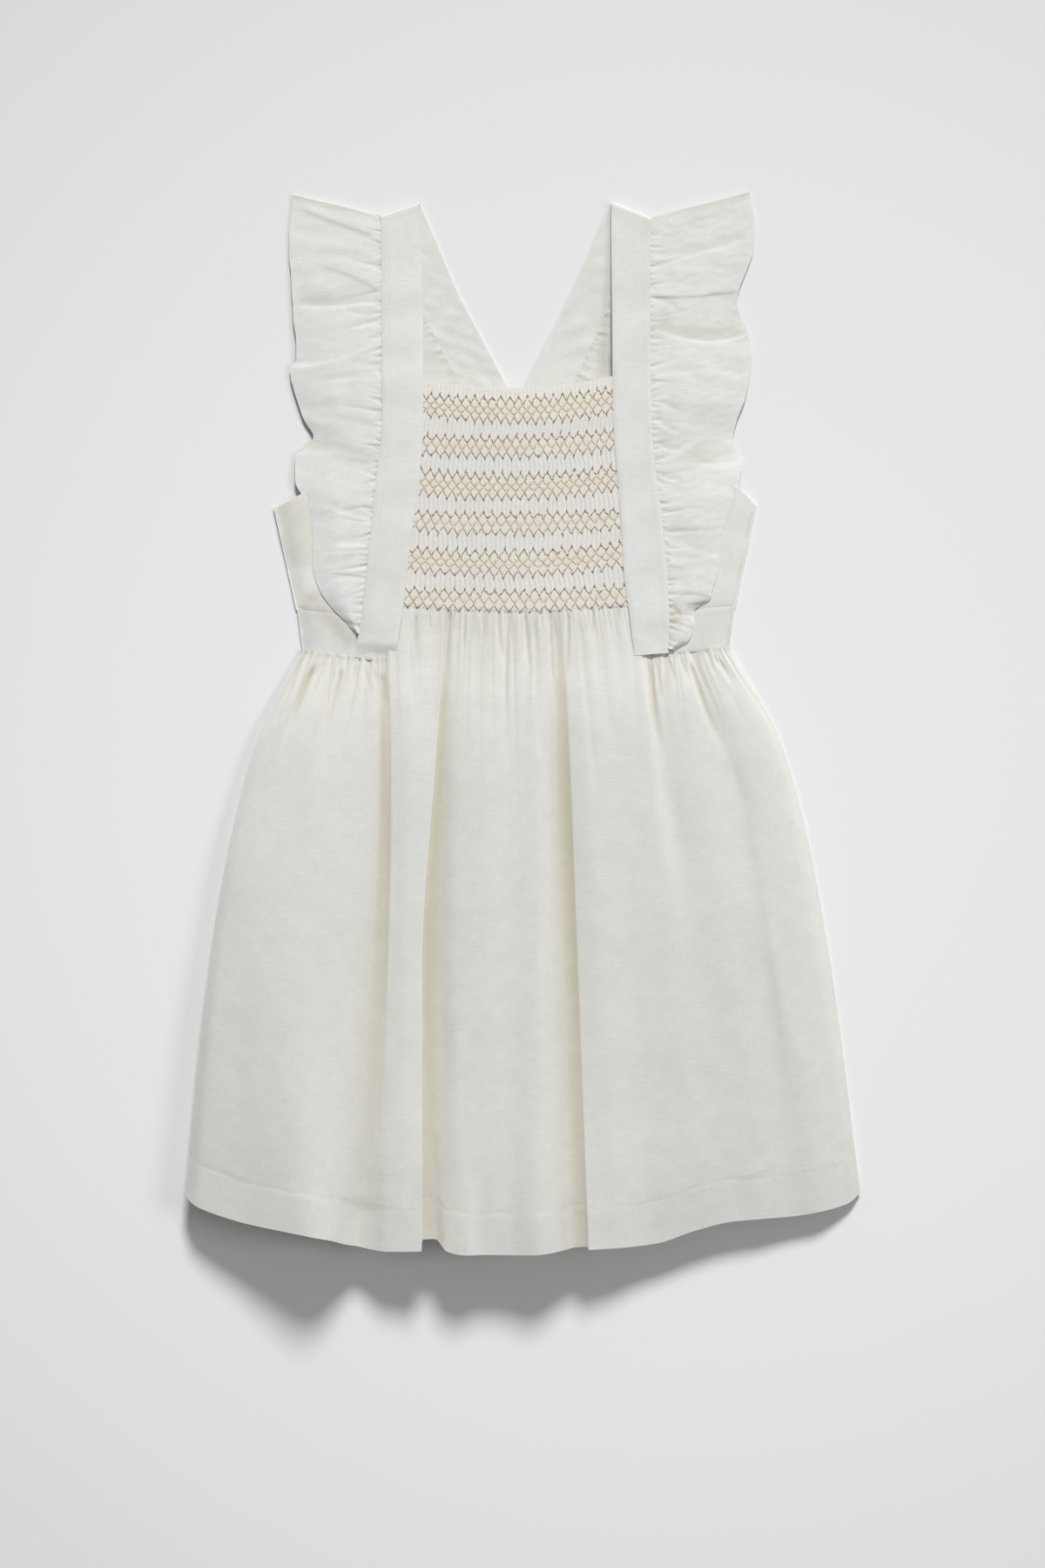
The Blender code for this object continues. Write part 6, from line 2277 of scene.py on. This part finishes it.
# ---------------------------------------------------------------------------------------------
# Studio
# ---------------------------------------------------------------------------------------------
@dataclass(frozen=True)
class Studio:
    """Pale floor, soft daylight from above the shoulders and a camera that looks straight down."""

    camera_height: float = 3.0
    frame_height: float = 0.81
    sensor: float = 36.0
    look_at: tuple = (-0.00055, -0.03225)
    floor_size: float = 6.0
    floor_drop: float = 0.0003
    floor_colour: tuple = (0.837, 0.837, 0.84, 1.0)
    brightest: tuple = (0.08, 0.0, 0.0)
    key_strength: float = 3.18
    key_angle: float = 14.0
    key_elevation: float = 37.5
    key_bearing: tuple = (0.11, 1.0)
    fill_strength: float = 0.62
    fill_angle: float = 20.0
    fill_elevation: float = 42.0
    fill_bearing: tuple = (1.0, 0.0)
    sky: float = 0.225
    falloff: float = 0.55
    most_falloff: float = 0.2

    def camera(self) -> None:
        """Camera above the dress, its frame's long side as high as the frame height at the floor."""
        data = bpy.data.cameras.new("camera")
        data.sensor_width = self.sensor
        data.lens = self.sensor * self.camera_height / self.frame_height
        data.clip_end = 100.0
        item = place_object("camera", data)
        item.location = (*self.look_at, self.camera_height)
        bpy.context.scene.camera = item

    def sun(self, name: str, strength: float, angle: float, elevation: float, bearing: tuple) -> None:
        """Sun lamp that shines from a bearing.

        Args:
            name: name of the lamp.
            strength: its strength.
            angle: its apparent width, in degrees.
            elevation: its height above the surface, in degrees.
            bearing: x and y of the way towards it.
        """
        data = bpy.data.lights.new(name, "SUN")
        data.energy = strength
        data.angle = math.radians(angle)
        item = place_object(name, data)
        heading = math.atan2(bearing[1], bearing[0]) - math.pi / 2.0
        item.rotation_euler = (-math.radians(90.0 - elevation), 0.0, heading)

    def sky_light(self) -> None:
        """Even pale sky."""
        world = bpy.data.worlds.new("sky")
        world.use_nodes = True
        background = world.node_tree.nodes["Background"]
        background.inputs["Color"].default_value = (1.0, 1.0, 1.0, 1.0)
        background.inputs["Strength"].default_value = self.sky
        bpy.context.scene.world = world

    def floor(self) -> None:
        """Plain floor just under the dress, with painted light: a little darker away from its brightest
        place.
        """
        shader = Shader("floor")
        place = {0: shader.own_place(), 1: self.brightest}
        away = shader.node("ShaderNodeVectorMath", {"operation": "SUBTRACT"}, place)
        far = shader.node("ShaderNodeVectorMath", {"operation": "LENGTH"}, {0: away}, "Value")
        # painted light falloff on the floor
        tone = 1.0 - far.math("MINIMUM", far * far * self.falloff, self.most_falloff)
        colour = shader.colour(self.floor_colour).scaled(tone)
        matt = {"Base Color": colour, "Roughness": 1.0, "Specular IOR Level": 0.0}
        shader.fill(shader.surface, matt)
        half = self.floor_size / 2.0 / MM
        corners = np.array(((-half, -half), (half, -half), (half, half), (-half, half)))
        points = np.column_stack((corners, np.full(4, -self.floor_drop / MM))) + CENTRE
        add_object("floor", points, [(0, 1, 2, 3)], shader.material)

    def build(self) -> None:
        """Make the floor, the lights and the camera."""
        bpy.context.scene.view_settings.view_transform = "Standard"
        self.camera()
        self.sun("key", self.key_strength, self.key_angle, self.key_elevation, self.key_bearing)
        self.sun("fill", self.fill_strength, self.fill_angle, self.fill_elevation, self.fill_bearing)
        self.sky_light()
        self.floor()


def main() -> None:
    """Build the dress and its studio."""
    logging.basicConfig(level=logging.INFO, format="%(name)s: %(message)s")
    # the five finishes are one linen; their different base colours are painted light and shade: the
    # skirt front darkest, the bib and ruffles lightest
    front = LinenFinish("linen_front_cloth", (0.735, 0.735, 0.703, 1.0)).material()
    pleats = ((0.845, 0.84, 0.81, 1.0), (0.89, 0.815, 0.715))
    pleated = LinenFinish("linen_smocked_cloth", *pleats).material()
    back = LinenFinish("linen_back_cloth", (0.76, 0.755, 0.71, 1.0)).material()
    tape = LinenFinish("linen_strap_cloth").material()
    trim = LinenFinish("linen_ruffle_cloth", (0.82, 0.82, 0.79, 1.0)).material()
    bib = Bib()
    bib.build(pleated)
    Skirt().build(bib, front, back)
    for piece, folds in bodice_pieces():
        sheet = piece.sheet()
        folds(sheet)
        finish = back if piece.slot is Slot.BACK else front
        enter(sheet.build(finish), (piece.name,))
    ruffles = (
        (RUFFLE_LEFT_FRONT, RUFFLE_LEFT_CREST, RUFFLE_LEFT_BACK, LEFT_RUFFLE_CREASES, LEFT_SHADES),
        (RUFFLE_RIGHT_FRONT, RUFFLE_RIGHT_CREST, RUFFLE_RIGHT_BACK, RIGHT_RUFFLE_CREASES, RIGHT_SHADES),
    )
    for strap in (
        Strap("left", STRAP_LEFT, *ruffles[0], 31, high_edge=2.4),
        Strap("right", STRAP_RIGHT, *ruffles[1], 37, end_z=8.4),
    ):
        strap.build(tape, trim)
    Studio().build()


if __name__ == "__main__":
    main()
